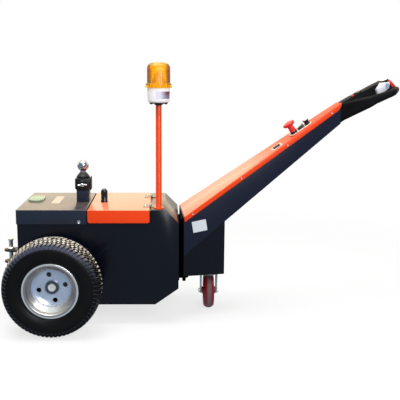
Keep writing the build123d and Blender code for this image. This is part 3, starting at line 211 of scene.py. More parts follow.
# Batteries, transaxle and bearings: what stands in the body. The battery cases are moulded black, the
# gear case is rough cast iron, and the flanged bearings are zinc-plated steel bolted to the body sides.
GRAIN_SCALE = 1400.0
BEARING_ROUND, CASE_ROUND = 0.0015, 0.003


def moulded(name, light, dark, dull, grain, sheen=0.5):
    """Moulded plastic: a fine spark-eroded grain and faint clouds in the colour."""
    material, shader, at = start_finish(name, IOR=1.48, Specular_IOR_Level=sheen)
    cloud = at.noise(24.0, 3.0)
    feed(shader, Base_Color=cloud.mix(dark, light), Roughness=dull + 0.14 * cloud,
         Normal=at.noise(GRAIN_SCALE).bump(grain))
    return material


def plated(name, light, dark, dull, metal=1.0):
    """Plated or bare steel: spangle in the colour and fine drawn lines in the gloss."""
    material, shader, at = start_finish(name, Metallic=metal)
    spangle = at.node("TexVoronoi", {}, {"Vector": at, "Scale": 160.0}, "Color").part("X")
    lines = at.noise(900.0, 1.0)
    feed(shader, Base_Color=(0.7 * spangle + 0.3 * lines).mix(dark, light),
         Roughness=dull + 0.18 * spangle * lines, Normal=lines.bump(0.00002))
    return material


battery_case = moulded("battery_case", rgb(46, 46, 50), rgb(34, 34, 38), 0.45, 0.0001)
zinc = plated("zinc_plate", rgb(236, 236, 234), rgb(176, 178, 182), 0.26, 0.8)
cast_iron, cast_shader, at = start_finish("cast_iron", Metallic=0.6)
feed(cast_shader, Base_Color=at.noise(40.0, 5.0).mix(rgb(62, 62, 64), rgb(96, 96, 98)),
     Roughness=0.5 + 0.3 * at.noise(90.0), Normal=at.noise(260.0, 4.0).bump(0.0006))
coat("transaxle", cast_iron)
dress("axle_bearings", zinc, BEARING_ROUND)
dress("batteries", battery_case, CASE_ROUND)

# Battery caps and posts: a row of moulded filler caps pressed into the top of each battery, and cast
# lead terminal posts at its ends. They are seen when the lid is open.
CAP_R, CAP_HEIGHT, CAPS_PER_BATTERY = 0.011, 0.008, 6
POST_R, POST_HEIGHT, POST_INSET = 0.009, 0.016, 0.03
BATTERY_INNER, STUD_TAPER, STUD_ROUND = 0.012, 0.85, 0.001
battery_low, battery_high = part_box("batteries")


def add_stud(form, x, y, radius, height):
    """Add a slightly tapered round stud that stands on the battery tops."""
    bmesh.ops.create_cone(form, cap_ends=True, segments=20, radius1=radius, radius2=STUD_TAPER * radius,
                          depth=height, matrix=Matrix.Translation((x, y, battery_high.z + height / 2)))


caps = bmesh.new()
posts = bmesh.new()
for side in (-1, 1):
    for row in range(CAPS_PER_BATTERY):
        along = battery_low.x + (battery_high.x - battery_low.x) * (row + 0.5) / CAPS_PER_BATTERY
        add_stud(caps, along, side * (battery_high.y + BATTERY_INNER) / 2, CAP_R, CAP_HEIGHT)
    for end in (battery_low.x + POST_INSET, battery_high.x - POST_INSET):
        add_stud(posts, end, side * (battery_high.y - POST_INSET), POST_R, POST_HEIGHT)
round_edges(caps, STUD_ROUND)
round_edges(posts, STUD_ROUND)
place("battery_caps", caps, battery_case, "chassis", "battery_case")
lead = plated("lead", rgb(132, 134, 138), rgb(92, 94, 98), 0.45)
place("battery_posts", posts, lead, "chassis", "steel")

# Deck cover: a folded sheet lid over the drive bay, in a lighter copy of the body's coat as painted light,
# held by a screw through each side skirt. It carries a blank pale label and the hinged plastic cover of the
# charging gauge.
HEAD_TOP, HEAD_RISE, SOCKET_RIM, SOCKET_DEPTH = 0.78, 0.55, 0.36, 0.3


def add_screw(form, spot, facing, radius):
    """Add a button-head screw with a socket, seated at a spot and facing out."""
    facing = Vector(facing).normalized()
    seat = Matrix.Translation(spot) @ facing.to_track_quat("Z", "Y").to_matrix().to_4x4()
    rise = HEAD_RISE * radius
    made = bmesh.ops.create_cone(form, cap_ends=True, segments=18, radius1=radius, radius2=HEAD_TOP * radius,
                                 depth=rise, matrix=seat @ Matrix.Translation((0, 0, rise / 2)))
    faces = {face for vert in made["verts"] for face in vert.link_faces}
    top = max(faces, key=lambda face: face.calc_center_median().dot(facing))
    bmesh.ops.inset_individual(form, faces=[top], thickness=SOCKET_RIM * radius)
    bmesh.ops.translate(form, verts=top.verts, vec=-SOCKET_DEPTH * radius * facing)


def add_slab(form, seat, length, width, thick, corner):
    """Add a thin plate with round corners, lying on a seat whose Z points out."""
    made = bmesh.ops.create_cube(form, matrix=seat @ Matrix.Translation((0, 0, thick / 2))
                                 @ Matrix.Diagonal((length, width, thick, 1)))
    out = seat.to_3x3() @ Vector((0, 0, 1))
    edges = {edge for vert in made["verts"] for edge in vert.link_edges}
    upright = [edge for edge in edges
               if abs((edge.verts[1].co - edge.verts[0].co).normalized().dot(out)) > 0.9]
    bmesh.ops.bevel(form, geom=upright, offset=corner, segments=4, profile=0.5, affect="EDGES", material=-1)


# Painted light: a lighter copy of the body's navy coat, for the deck cover and the tow post.
deck_navy_painted_light = powder_coat("deck_navy_painted_light", rgb(30, 38, 58), rgb(24, 31, 49), 0.22, 0.45)
dress("deck_cover", deck_navy_painted_light, FOLD_ROUND)
deck_low, deck_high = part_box("deck_cover")
tyre_low, tyre_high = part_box("tyre_right")
AXLE_X, AXLE_Z = (tyre_low.x + tyre_high.x) / 2, (tyre_low.z + tyre_high.z) / 2
DECK_SCREW_R, DECK_SCREW_X, DECK_SCREW_Z = 0.0075, AXLE_X + 0.1006, deck_low.z + 0.0104
deck_screws = bmesh.new()
for side, skirt_y in ((-1, deck_low.y), (1, deck_high.y)):
    add_screw(deck_screws, (DECK_SCREW_X, skirt_y, DECK_SCREW_Z), (0, side, 0), DECK_SCREW_R)
place("deck_screws", deck_screws, zinc, "chassis", "steel")

LABEL_THICK = 0.0006
DECK_LABEL_X, DECK_LABEL_Y = AXLE_X - 0.02, 0.022
DECK_LABEL_LENGTH, DECK_LABEL_WIDTH, DECK_LABEL_CORNER = 0.036, 0.171, 0.003
deck_label = bmesh.new()
add_slab(deck_label, Matrix.Translation((DECK_LABEL_X, DECK_LABEL_Y, deck_high.z)), DECK_LABEL_LENGTH,
         DECK_LABEL_WIDTH, LABEL_THICK, DECK_LABEL_CORNER)
deck_film = moulded("deck_film", rgb(224, 186, 166), rgb(206, 168, 150), 0.3, 0.00002)
place("deck_label", deck_label, deck_film, "chassis", "white_plastic")

GAUGE_STEPS = ((0.007, -0.002), (0.002, 0.0015))
GAUGE_ROUND, GAUGE_PIN_R, GAUGE_PIN_LENGTH = 0.0008, 0.003, 0.07
gauge_green = moulded("gauge_green", rgb(164, 182, 150), rgb(146, 164, 134), 0.25, 0.00003)
gauge = solid_form("gauge_cover")
gauge_face = max(gauge.faces, key=lambda face: face.calc_center_median().z)
for rim, rise in GAUGE_STEPS:
    bmesh.ops.inset_individual(gauge, faces=[gauge_face], thickness=rim)
    bmesh.ops.translate(gauge, verts=gauge_face.verts, vec=(0, 0, rise))
round_edges(gauge, GAUGE_ROUND)
place("gauge_cover_dressed", gauge, gauge_green, "chassis", "gauge_plastic", "gauge_cover")
gauge_low, gauge_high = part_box("gauge_cover")
gauge_pin = Vector((gauge_high.x, (gauge_low.y + gauge_high.y) / 2, gauge_low.z + GAUGE_PIN_R))
gauge_hinge = bmesh.new()
bmesh.ops.create_cone(gauge_hinge, cap_ends=True, segments=16, radius1=GAUGE_PIN_R, radius2=GAUGE_PIN_R,
                      depth=GAUGE_PIN_LENGTH,
                      matrix=Matrix.Translation(gauge_pin) @ Matrix.Rotation(pi / 2, 4, "X"))
round_edges(gauge_hinge, GAUGE_ROUND)
place("gauge_hinge", gauge_hinge, gauge_green, "chassis", "gauge_plastic")

# Battery lid: folded sheet in orange powder coat, lifted by a black dome knob and turning on two
# zinc-plated butt hinges that are screwed to the lid and to the rear deck. The coat is painted paler where
# it faces up, a painted sheen that is left off high up on the arm, which has the same coat and is duller there.
orange, orange_shader, at = start_finish("orange_coat", IOR=1.42)
cloud = at.noise(COAT_CLOUDS, 4.0)
raised = at.part("Z").between(0.60, 0.80)
# Painted sheen: faces that turn up are mixed towards a pale orange, less so high up on the arm.
painted_sheen = at.facing_up().between(0.3, 0.8) * (1 - raised)
orange_tone = cloud.mix(rgb(244, 64, 6), rgb(252, 72, 10))
feed(orange_shader, Base_Color=(0.5 * painted_sheen).mix(orange_tone, rgb(255, 174, 134)),
     Roughness=0.18 + 0.08 * cloud + 0.24 * raised, Normal=at.noise(PEEL_SCALE).bump(PEEL_DEPTH))
dress("battery_lid", orange, FOLD_ROUND)
POLE_GAP = 0.000005


def spin_profile(points, spot, steps, axis_way=(0, 0, 1), start_way=(1, 0, 0)):
    """Round body from a profile of (distance along the axis, radius), ends on the axis closed."""
    form = bmesh.new()
    axis_way, start_way = Vector(axis_way), Vector(start_way)
    verts = [form.verts.new(Vector(spot) + along * axis_way + radius * start_way)
             for along, radius in points]
    for first, second in zip(verts, verts[1:]):
        form.edges.new((first, second))
    bmesh.ops.spin(form, geom=form.verts[:] + form.edges[:], cent=spot, axis=axis_way, dvec=(0, 0, 0),
                   angle=tau, steps=steps, use_merge=True, use_normal_flip=False)
    bmesh.ops.remove_doubles(form, verts=form.verts, dist=POLE_GAP)
    bmesh.ops.recalc_face_normals(form, faces=form.faces)
    return form


def arc(centre, radius, start, end, steps=8):
    """Points of an arc in a profile, angles in degrees from the axis direction."""
    turns = [radians(start + (end - start) * step / steps) for step in range(steps + 1)]
    return [(centre[0] + radius * cos(turn), centre[1] + radius * sin(turn)) for turn in turns]


knob_low, knob_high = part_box("lid_knob")
knob_spot = Vector(((knob_low.x + knob_high.x) / 2, (knob_low.y + knob_high.y) / 2, knob_low.z))
KNOB_R, KNOB_TOP = (knob_high.x - knob_low.x) / 2, knob_high.z - knob_low.z
DOME_R, KNOB_FOOT, KNOB_CHAMFER = 0.92 * KNOB_R, 0.004, 0.002
gloss_black = moulded("gloss_black", rgb(22, 22, 24), rgb(16, 16, 18), 0.08, 0.00001)
knob = spin_profile([(0, 0), (0, KNOB_R), (KNOB_FOOT, KNOB_R), (KNOB_FOOT + KNOB_CHAMFER, DOME_R),
                     *arc((KNOB_TOP - DOME_R, 0), DOME_R, 90, 0)], knob_spot, 48)
place("lid_knob_dressed", knob, gloss_black, "lid", "black_plastic", "lid_knob")

LEAF_ROUND, LEAF_THICK, LEAF_HALF = 0.0005, 0.0025, 0.030
HINGE_SCREW_R, HINGE_SCREW_INSET, HINGE_SCREW_GAP = 0.0035, 0.009, 0.02
hinge_zinc = plated("hinge_zinc", rgb(172, 172, 150), rgb(118, 120, 106), 0.34)
dress("lid_hinge_leaves", hinge_zinc, LEAF_ROUND)
dress("lid_hinge_straps", hinge_zinc, LEAF_ROUND)
leaf_low, leaf_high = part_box("lid_hinge_leaves")
strap_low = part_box("lid_hinge_straps")[0]
LEAF_CENTRE = leaf_high.y - LEAF_HALF
for name, body, screw_x, screw_z in (
    ("leaf_screws", "chassis", leaf_high.x - HINGE_SCREW_INSET, leaf_low.z + LEAF_THICK),
    ("strap_screws", "lid", strap_low.x + HINGE_SCREW_INSET, strap_low.z + LEAF_THICK),
):
    hinge_screws = bmesh.new()
    for centre in (-LEAF_CENTRE, LEAF_CENTRE):
        for spread in (-HINGE_SCREW_GAP, 0.0, HINGE_SCREW_GAP):
            add_screw(hinge_screws, (screw_x, centre + spread, screw_z), (0, 0, 1), HINGE_SCREW_R)
    place(name, hinge_screws, zinc, body, "steel")

# Drive tyres: pneumatic turf tyres, black rubber moulded with staggered tread blocks. Shoulder lugs
# wrap down the sidewall, and the tread holds pale dust with a painted highlight where it faces up.
TYRE_R, TYRE_HALF = (tyre_high.z - tyre_low.z) / 2, (tyre_high.y - tyre_low.y) / 2
WHEEL_Y = (tyre_low.y + tyre_high.y) / 2
SHOULDER_W, SHOULDER_DROP = 0.0735, 0.012
CROWN_R = (SHOULDER_W ** 2 + SHOULDER_DROP ** 2) / (2 * SHOULDER_DROP)
WIDEST_R, SIDE_CURVE, WALL_INSET = 0.156, 9.2, 0.001
WALL_RINGS, RING_PROUD = ((0.1235, 0.0025), (0.1690, 0.0012)), 0.0016
BEAD_HALF, SEAT_R, FLANGE_R = 0.0635, 0.1016, 0.115
GROOVE, BLOCK_ROOT, LUG_ROOT, BLOCK_ROUND, BLOCK_SKEW = 0.007, 0.001, 0.002, 0.0009, 0.35
LUGS = 68
PITCH = tau * TYRE_R / LUGS


def crown(across):
    """Radius of the tread's outer face at a distance from the middle plane."""
    return TYRE_R - CROWN_R + sqrt(CROWN_R ** 2 - across ** 2)


def sidewall(radius):
    """Distance of the sidewall from the middle plane at a radius."""
    return TYRE_HALF - WALL_INSET - SIDE_CURVE * (radius - WIDEST_R) ** 2


def ringed_wall(radius):
    """Sidewall with its raised rings: the rim guard and the ring below the lugs."""
    return sidewall(radius) + sum(RING_PROUD for ring, half in WALL_RINGS if abs(radius - ring) < half)


def mirrored(outline):
    """The same outline on the other side of the middle plane."""
    return [(-across, radius) for across, radius in reversed(outline)]


wall_radii = (0.118, 0.1205, 0.1212, 0.1258, 0.1265, 0.134, 0.144, 0.154, 0.162, 0.1676, 0.1680, 0.1700,
              0.1704, 0.176, 0.181, 0.186)
outer_wall = [(BEAD_HALF, SEAT_R), (BEAD_HALF, FLANGE_R),
              *((ringed_wall(radius), radius) for radius in wall_radii)]
tread_floor = [(mm * 0.001, crown(mm * 0.001) - GROOVE) for mm in range(66, -67, -6)]
carcass_profile = [*outer_wall, *tread_floor, *mirrored(outer_wall), outer_wall[0]]


def sweep_loop(form, corners, centre, axis, angle, steps):
    """Spin a closed loop of corners part of a turn and close both of its ends."""
    loop = [form.edges.new((corners[index - 1], corners[index])) for index in range(len(corners))]
    bmesh.ops.spin(form, geom=corners + loop, cent=centre, axis=axis, dvec=(0, 0, 0), angle=angle,
                   steps=steps, use_merge=False)
    bmesh.ops.holes_fill(form, edges=[edge for edge in form.edges if edge.is_boundary], sides=0)
    bmesh.ops.recalc_face_normals(form, faces=form.faces)


def tread_block(outline, start, length, skew):
    """One tread block: an outline of (across, radius) swept round the axle, skewed as it goes out."""
    block = bmesh.new()
    turn = start / TYRE_R
    corners = [block.verts.new((radius * sin(turn), across, radius * cos(turn)))
               for across, radius in outline]
    sweep_loop(block, corners, (0, 0, 0), (0, 1, 0), length / TYRE_R, 2)
    outer_edges = [edge for edge in block.edges if edge.is_manifold and edge.calc_face_angle() > radians(50)
                   and all(sqrt(vert.co.x ** 2 + vert.co.z ** 2) > crown(vert.co.y) - GROOVE / 2
                           or abs(vert.co.y) > SHOULDER_W for vert in edge.verts)]
    bmesh.ops.bevel(block, geom=outer_edges, offset=BLOCK_ROUND, segments=1, profile=0.5, affect="EDGES",
                    material=-1)
    for vert in block.verts:
        bmesh.ops.rotate(block, verts=[vert], cent=(0, 0, 0),
                         matrix=Matrix.Rotation(skew * abs(vert.co.y) / TYRE_R, 3, "Y"))
    return block


def row_outline(inner, outer):
    """Outline of a crown block between two distances across."""
    middle = (inner + outer) / 2
    return [(inner, crown(inner)), (middle, crown(middle)), (outer, crown(outer)),
            (outer, crown(outer) - GROOVE - BLOCK_ROOT), (inner, crown(inner) - GROOVE - BLOCK_ROOT)]


lug_outline = [(0.049, crown(0.049)), (0.060, crown(0.060)), (0.069, crown(0.069)), (SHOULDER_W, 0.1905),
               (sidewall(0.184) + 0.0020, 0.184), (sidewall(0.176) + 0.0016, 0.176),
               (sidewall(0.1725) - 0.001, 0.1725), (sidewall(0.180) - 0.003, 0.180),
               (0.062, crown(0.062) - GROOVE - LUG_ROOT), (0.049, crown(0.049) - GROOVE - LUG_ROOT)]
pitch_blocks = [(row_outline(-0.0085, 0.0085), 0.0, 0.62 * PITCH, 0.0)]
for outline, start, length in (
    (row_outline(0.0135, 0.0275), 0.42 * PITCH, 0.62 * PITCH),
    (row_outline(0.0315, 0.0450), 0.90 * PITCH, 0.60 * PITCH),
    (lug_outline, 0.45 * PITCH, 0.66 * PITCH),
):
    pitch_blocks += [(half, start, length, BLOCK_SKEW) for half in (outline, mirrored(outline))]


def turned_on_axle(profile, steps):
    """Round body about the Y axis at the origin, from a profile of (distance across, radius)."""
    return spin_profile(profile, (0, 0, 0), steps, (0, 1, 0), (0, 0, 1))


def join(form, extra):
    """Add a second mesh to a first one."""
    carrier = bpy.data.meshes.new("carrier")
    extra.to_mesh(carrier)
    form.from_mesh(carrier)
    bpy.data.meshes.remove(carrier)
    extra.free()


def tyre_form():
    """Whole tyre about the Y axis at the origin: carcass and all its tread blocks."""
    form = turned_on_axle(carcass_profile, 96)
    pitch = bmesh.new()
    for outline, start, length, skew in pitch_blocks:
        join(pitch, tread_block(outline, start, length, skew))
    bmesh.ops.spin(pitch, geom=pitch.verts[:] + pitch.edges[:] + pitch.faces[:], cent=(0, 0, 0),
                   axis=(0, 1, 0), dvec=(0, 0, 0), angle=tau * (LUGS - 1) / LUGS, steps=LUGS - 1,
                   use_duplicate=True)
    join(form, pitch)
    return form


def to_wheel(form, side):
    """Turn and move a form made about the Y axis at the origin, outboard towards +Y, to a wheel."""
    half_turn = Matrix.Rotation(pi if side < 0 else 0, 3, "Z")
    bmesh.ops.rotate(form, verts=form.verts, cent=(0, 0, 0), matrix=half_turn)
    bmesh.ops.translate(form, verts=form.verts, vec=(AXLE_X, side * abs(WHEEL_Y), AXLE_Z))
    return form


def axle_distance(at):
    """Distance from the axle's line, drawn from these coordinates."""
    centred = at.node("Mapping", {"vector_type": "POINT"},
                      {"Vector": at, "Location": (-AXLE_X, 0, -AXLE_Z)})
    flat = centred.node("VectorMath", {"operation": "MULTIPLY"}, {0: centred, 1: (1, 0, 1)})
    return flat.node("VectorMath", {"operation": "LENGTH"}, {0: flat}, "Value")


# Tyre rubber is black and matt in the grooves, with a painted bluish sheen on the shoulder lugs that face
# up, and pale dust with a painted highlight on the tread blocks that face up.
tyre_rubber, rubber_shader, at = start_finish("tyre_rubber", IOR=1.5, Specular_IOR_Level=0.14)
radius = axle_distance(at)
grit = at.noise(70.0, 5.0)
up = at.facing_up()
# Dust and painted highlight: tread tops that face up are mixed to near white.
dust_and_painted_highlight = radius.between(TYRE_R - 0.012, TYRE_R - 0.002) * grit.between(0.32, 0.58) * up.between(0.4, 0.95)
# Painted sheen: a bluish grey on the shoulder lugs where they face up.
lug_painted_sheen = radius.between(0.171, 0.178) * (1 - radius.between(0.190, 0.197)) * up.between(0.1, 0.5)
black = at.noise(14.0, 3.0).mix(rgb(11, 11, 12), rgb(17, 17, 18))
black_with_lug_sheen = (0.8 * lug_painted_sheen).mix(black, rgb(84, 88, 108))
feed(rubber_shader, Base_Color=(0.96 * dust_and_painted_highlight).mix(black_with_lug_sheen, rgb(250, 240, 222)),
     Roughness=0.3 + 0.12 * grit, Normal=at.noise(420.0, 3.0).bump(0.0002))

# Rims: pressed steel drop-centre barrels with a welded-in disc, sprayed silver. The disc has four
# open stud holes and a rolled bead where it meets the barrel.
rim_low, rim_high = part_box("rim_right")
RIM_HALF, BARREL_LIP, LIP_R = (rim_high.y - rim_low.y) / 2, 0.0045, 0.0028
LEDGE_W, WELL_W, WELL_R, SHEET, BARREL_ROUND = 0.040, 0.030, 0.084, 0.004, 0.002
DISC_BACK, DISC_FACE, DISC_R, BORE_R, DISC_ROUND = 0.004, 0.010, WELL_R - SHEET + 0.0005, 0.0265, 0.0012
STUD_R, STUD_CIRCLE, STUDS, STUD_TURN = 0.010, 0.055, 4, radians(12.0)
half_barrel = [
    (WELL_W, WELL_R - SHEET), (LEDGE_W, SEAT_R - SHEET), (RIM_HALF - 0.006, SEAT_R - SHEET + 0.001),
    *arc((RIM_HALF - 0.0065, SEAT_R + 0.0020), 0.0062, -70, 10, 5), (RIM_HALF, FLANGE_R - BARREL_LIP),
    *arc((RIM_HALF - LIP_R, FLANGE_R - 0.0030), LIP_R, 0, 180, 7), (RIM_HALF - 2 * LIP_R, SEAT_R + 0.003),
    (RIM_HALF - 0.008, SEAT_R), (LEDGE_W - 0.001, SEAT_R - 0.001), (WELL_W - 0.001, WELL_R),
]
barrel_profile = [*half_barrel, *mirrored(half_barrel), half_barrel[0]]
BEAD_R, BEAD_FOOT = 0.0042, DISC_FACE - 0.001
bead_profile = [(BEAD_FOOT, DISC_R - 0.006), *arc((DISC_FACE, DISC_R - 0.001), BEAD_R, 160, 20, 6),
                (BEAD_FOOT, DISC_R + 0.001), (BEAD_FOOT, DISC_R - 0.006)]


def ring_of(form, radius, centre, segments):
    """Circle of edges round a point in the plane of the disc's back."""
    made = bmesh.ops.create_circle(form, cap_ends=False, segments=segments, radius=radius,
                                   matrix=Matrix.Translation((centre[0], DISC_BACK, centre[1]))
                                   @ Matrix.Rotation(pi / 2, 4, "X"))
    return {edge for vert in made["verts"] for edge in vert.link_edges}


def rim_form():
    """Barrel and disc about the Y axis at the origin, outboard towards +Y."""
    form = turned_on_axle(barrel_profile, 96)
    round_edges(form, BARREL_ROUND, 3, 25.0)
    disc = bmesh.new()
    edges = ring_of(disc, DISC_R, (0, 0), 80) | ring_of(disc, BORE_R, (0, 0), 48)
    for stud in range(STUDS):
        angle = -STUD_TURN + tau * stud / STUDS
        edges |= ring_of(disc, STUD_R, (STUD_CIRCLE * cos(angle), STUD_CIRCLE * sin(angle)), 24)
    bmesh.ops.triangle_fill(disc, use_beauty=True, use_dissolve=False, edges=list(edges))
    plate = bmesh.ops.extrude_face_region(disc, geom=disc.faces[:])
    face_verts = [item for item in plate["geom"] if isinstance(item, bmesh.types.BMVert)]
    bmesh.ops.translate(disc, verts=face_verts, vec=(0, DISC_FACE - DISC_BACK, 0))
    bmesh.ops.recalc_face_normals(disc, faces=disc.faces)
    round_edges(disc, DISC_ROUND, 2, 60.0)
    join(form, disc)
    join(form, turned_on_axle(bead_profile, 96))
    return form


# Silver paint with painted light in its colour: a bluish painted reflection on the disc, painted shade on the
# barrel's well and on faces that turn down, a painted highlight on the flange lip and painted light on faces that
# turn up.
silver, silver_shader, at = start_finish("silver_paint", Metallic=0.76)
flake = at.noise(1600.0, 1.0)
cloud = at.noise(18.0, 4.0)
up = at.facing_up()
radius = axle_distance(at)
disc_painted_reflection = (0.6 * cloud + 0.4 * flake).mix(rgb(200, 212, 240), rgb(228, 238, 255))
barrel_painted_shade = cloud.mix(rgb(138, 134, 138), rgb(166, 162, 164))
inner_painted_light = radius.between(0.079, 0.083).mix(disc_painted_reflection, barrel_painted_shade)
paint = radius.between(0.105, 0.109).mix(inner_painted_light, rgb(246, 246, 246))
painted_shade_below = up.between(-0.9, -0.05).mix(rgb(88, 86, 92), paint)
feed(silver_shader, Base_Color=up.between(0.1, 0.9).mix(painted_shade_below, rgb(250, 244, 230)),
     Roughness=0.22 + 0.12 * cloud, Normal=at.noise(300.0).bump(0.00003))

# Hubs: turned steel bosses on the half shafts, each with a flange behind the disc, a retaining ring in
# its mouth and the end of the shaft inside, made bright by a painted highlight.
BOSS_R, BOSS_END, BOSS_CHAMFER, MOUTH_R = 0.0263, 0.022, 0.0015, 0.0195
FLANGE_OUT, FLANGE_BACK, FLANGE_FACE = 0.040, DISC_BACK - 0.010, DISC_BACK - 0.0003
HALF_SHAFT_R, SHAFT_PLAY = 0.0156, 0.0006
SHAFT_START = SHAFT_PLAY - (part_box("hub_right")[1].y - WHEEL_Y)
SHAFT_R, SHAFT_END, TIP_END = 0.0165, 0.0135, 0.0170
RING_FACE, RING_BACK, RING_R = BOSS_END - 0.004, BOSS_END - 0.0055, SHAFT_R + 0.0012
hub_profile = [
    (SHAFT_START, 0), (SHAFT_START, HALF_SHAFT_R), (FLANGE_BACK, HALF_SHAFT_R), (FLANGE_BACK, FLANGE_OUT),
    (FLANGE_FACE, FLANGE_OUT), (FLANGE_FACE, BOSS_R), (BOSS_END - BOSS_CHAMFER, BOSS_R),
    (BOSS_END, BOSS_R - BOSS_CHAMFER), (BOSS_END, MOUTH_R + 0.001), (BOSS_END - 0.001, MOUTH_R),
    (RING_FACE, MOUTH_R), (RING_FACE, RING_R), (RING_BACK, RING_R), (RING_BACK, SHAFT_R + 0.0005),
    (SHAFT_END, SHAFT_R), (SHAFT_END, 0),
]
tip_profile = [(SHAFT_END, SHAFT_R), (TIP_END, SHAFT_R - 0.001), (TIP_END, 0.0045), (SHAFT_END, 0.0015),
               (SHAFT_END, 0)]
turned_steel = plated("turned_steel", rgb(132, 138, 148), rgb(92, 97, 106), 0.18)
# Painted highlight: a near-white, mostly matt steel stands in for the shine on the shaft's end and on the key's
# ring.
steel_painted_shine = plated("steel_painted_shine", rgb(250, 250, 248), rgb(226, 226, 224), 0.2, 0.25)
for side_name, side in (("right", -1), ("left", 1)):
    body = "wheel_" + side_name
    for piece, form, finish, slot, solid in (
        ("tyre_tread_", tyre_form(), tyre_rubber, "tyre", "tyre_"),
        ("rim_pressed_", rim_form(), silver, "wheel_paint", "rim_"),
        ("hub_turned_", turned_on_axle(hub_profile, 56), turned_steel, "dark_steel", "hub_"),
    ):
        place(piece + side_name, to_wheel(form, side), finish, body, slot, solid + side_name)
    shaft_tip = to_wheel(turned_on_axle(tip_profile, 48), side)
    place("shaft_tip_" + side_name, shaft_tip, steel_painted_shine, body, "steel")

# Drawbar hitch: two jaw plates cut from 8 mm steel and welded to a back plate, in satin black, bolted to
# the tow end. A zinc-plated drop pin with a grip head hangs through both plates.
PLATE_ROUND, PIN_ROUND = 0.0012, 0.001
HITCH_BOLT_R, HITCH_BACK, HITCH_INSET_Y, HITCH_INSET_Z = 0.008, 0.008, 0.014, 0.013
black_coat = powder_coat("black_coat", rgb(20, 21, 25), rgb(15, 16, 19), 0.35, 0.08, 1.36)
dress("hitch_bracket", black_coat, PLATE_ROUND)
dress("hitch_pin", zinc, PIN_ROUND)
hitch_low, hitch_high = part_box("hitch_bracket")
hitch_bolts = bmesh.new()
for bolt_y in (hitch_low.y + HITCH_INSET_Y, hitch_high.y - HITCH_INSET_Y):
    for bolt_z in (hitch_low.z + HITCH_INSET_Z, hitch_high.z - HITCH_INSET_Z):
        add_screw(hitch_bolts, (hitch_high.x - HITCH_BACK, bolt_y, bolt_z), (-1, 0, 0), HITCH_BOLT_R)
place("hitch_bolts", hitch_bolts, zinc, "chassis", "steel")

# Ball coupling tower: a navy square post welded to the deck, a black housing with a lever lock on its
# face, a turned collar and the chromed 50 mm ball.
TOWER_ROUND, HOUSING_ROUND, COLLAR_ROUND = 0.001, 0.0025, 0.0015
# The post has the lighter copy of the navy coat, painted light.
dress("tow_post", deck_navy_painted_light, TOWER_ROUND)
dress("coupling_housing", black_coat, HOUSING_ROUND)
dress("coupling_collar", black_coat, COLLAR_ROUND)
chrome, chrome_shader, at = start_finish("chrome", Metallic=1.0)
feed(chrome_shader, Base_Color=at.noise(30.0).mix(rgb(206, 208, 212), rgb(228, 228, 230)),
     Roughness=0.05 + 0.05 * at.noise(120.0, 4.0))
ball_chrome = plated("ball_chrome", rgb(190, 193, 198), rgb(172, 176, 183), 0.04)
coat("tow_ball", ball_chrome)
latch_low, latch_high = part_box("coupling_latch")
latch_spot = Vector(((latch_low.x + latch_high.x) / 2, latch_high.y, (latch_low.z + latch_high.z) / 2))
LATCH_R, LATCH_EDGE, LATCH_FACE, LATCH_DISH = (latch_high.x - latch_low.x) / 2, 0.006, 0.008, 0.0065
latch_boss = spin_profile(
    [(0, LATCH_R), (LATCH_EDGE, LATCH_R), (LATCH_FACE, LATCH_R - 0.002), (LATCH_FACE, LATCH_R - 0.005),
     (LATCH_DISH, LATCH_R - 0.007), (LATCH_DISH, 0)], latch_spot, 48, (0, -1, 0))
place("latch_boss", latch_boss, black_coat, "chassis", "dark_steel", "coupling_latch")
LEVER_HALF, LEVER_R, LEVER_OUT, LEVER_TILT = 0.017, 0.0035, 0.0115, 0.06
LEVER_END_R = 1.3 * LEVER_R
lever = spin_profile(
    [*arc((-LEVER_HALF, 0), LEVER_END_R, 180, 60), (-LEVER_HALF / 2, LEVER_R), (LEVER_HALF / 2, LEVER_R),
     *arc((LEVER_HALF, 0), LEVER_END_R, 120, 0)],
    latch_spot + Vector((0, -LEVER_OUT, 0)), 20, (1, 0, LEVER_TILT), (0, 1, 0))
place("latch_lever", lever, chrome, "chassis", "chrome")
LOCK_CAP_R, LOCK_CAP_ROUND, LOCK_CAP_EDGE = 0.0085, 0.0055, 0.011
lock_cap = spin_profile(
    [(LATCH_EDGE, LOCK_CAP_R), (LOCK_CAP_EDGE, LOCK_CAP_R),
     *arc((LOCK_CAP_EDGE, LOCK_CAP_R - LOCK_CAP_ROUND), LOCK_CAP_ROUND, 90, 0),
     (LOCK_CAP_EDGE + LOCK_CAP_ROUND, 0)], latch_spot, 28, (0, -1, 0))
place("latch_cap", lock_cap, chrome, "chassis", "chrome")

# Beacon: an orange tube with a foot welded on, a black flange bracket, a white moulded base with a blank
# film label and a faint painted glow, and a ribbed amber lens with painted shade at its sides, over a dish
# with a painted glow and painted shade at its sides, and a small reflector with a painted glow.
TUBE_ROUND = 0.0008
pole_orange = powder_coat("pole_orange", rgb(238, 72, 6), rgb(228, 64, 4), 0.2, 0.1, 1.36)
dress("beacon_pole", pole_orange, TUBE_ROUND)
dress("beacon_bracket", black_coat, TUBE_ROUND)
base_low, base_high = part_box("beacon_base")
beacon_spot = Vector(((base_low.x + base_high.x) / 2, (base_low.y + base_high.y) / 2, base_low.z))
BASE_R, BASE_HEIGHT, BASE_SEAM = (base_high.x - base_low.x) / 2, base_high.z - base_low.z, 0.030
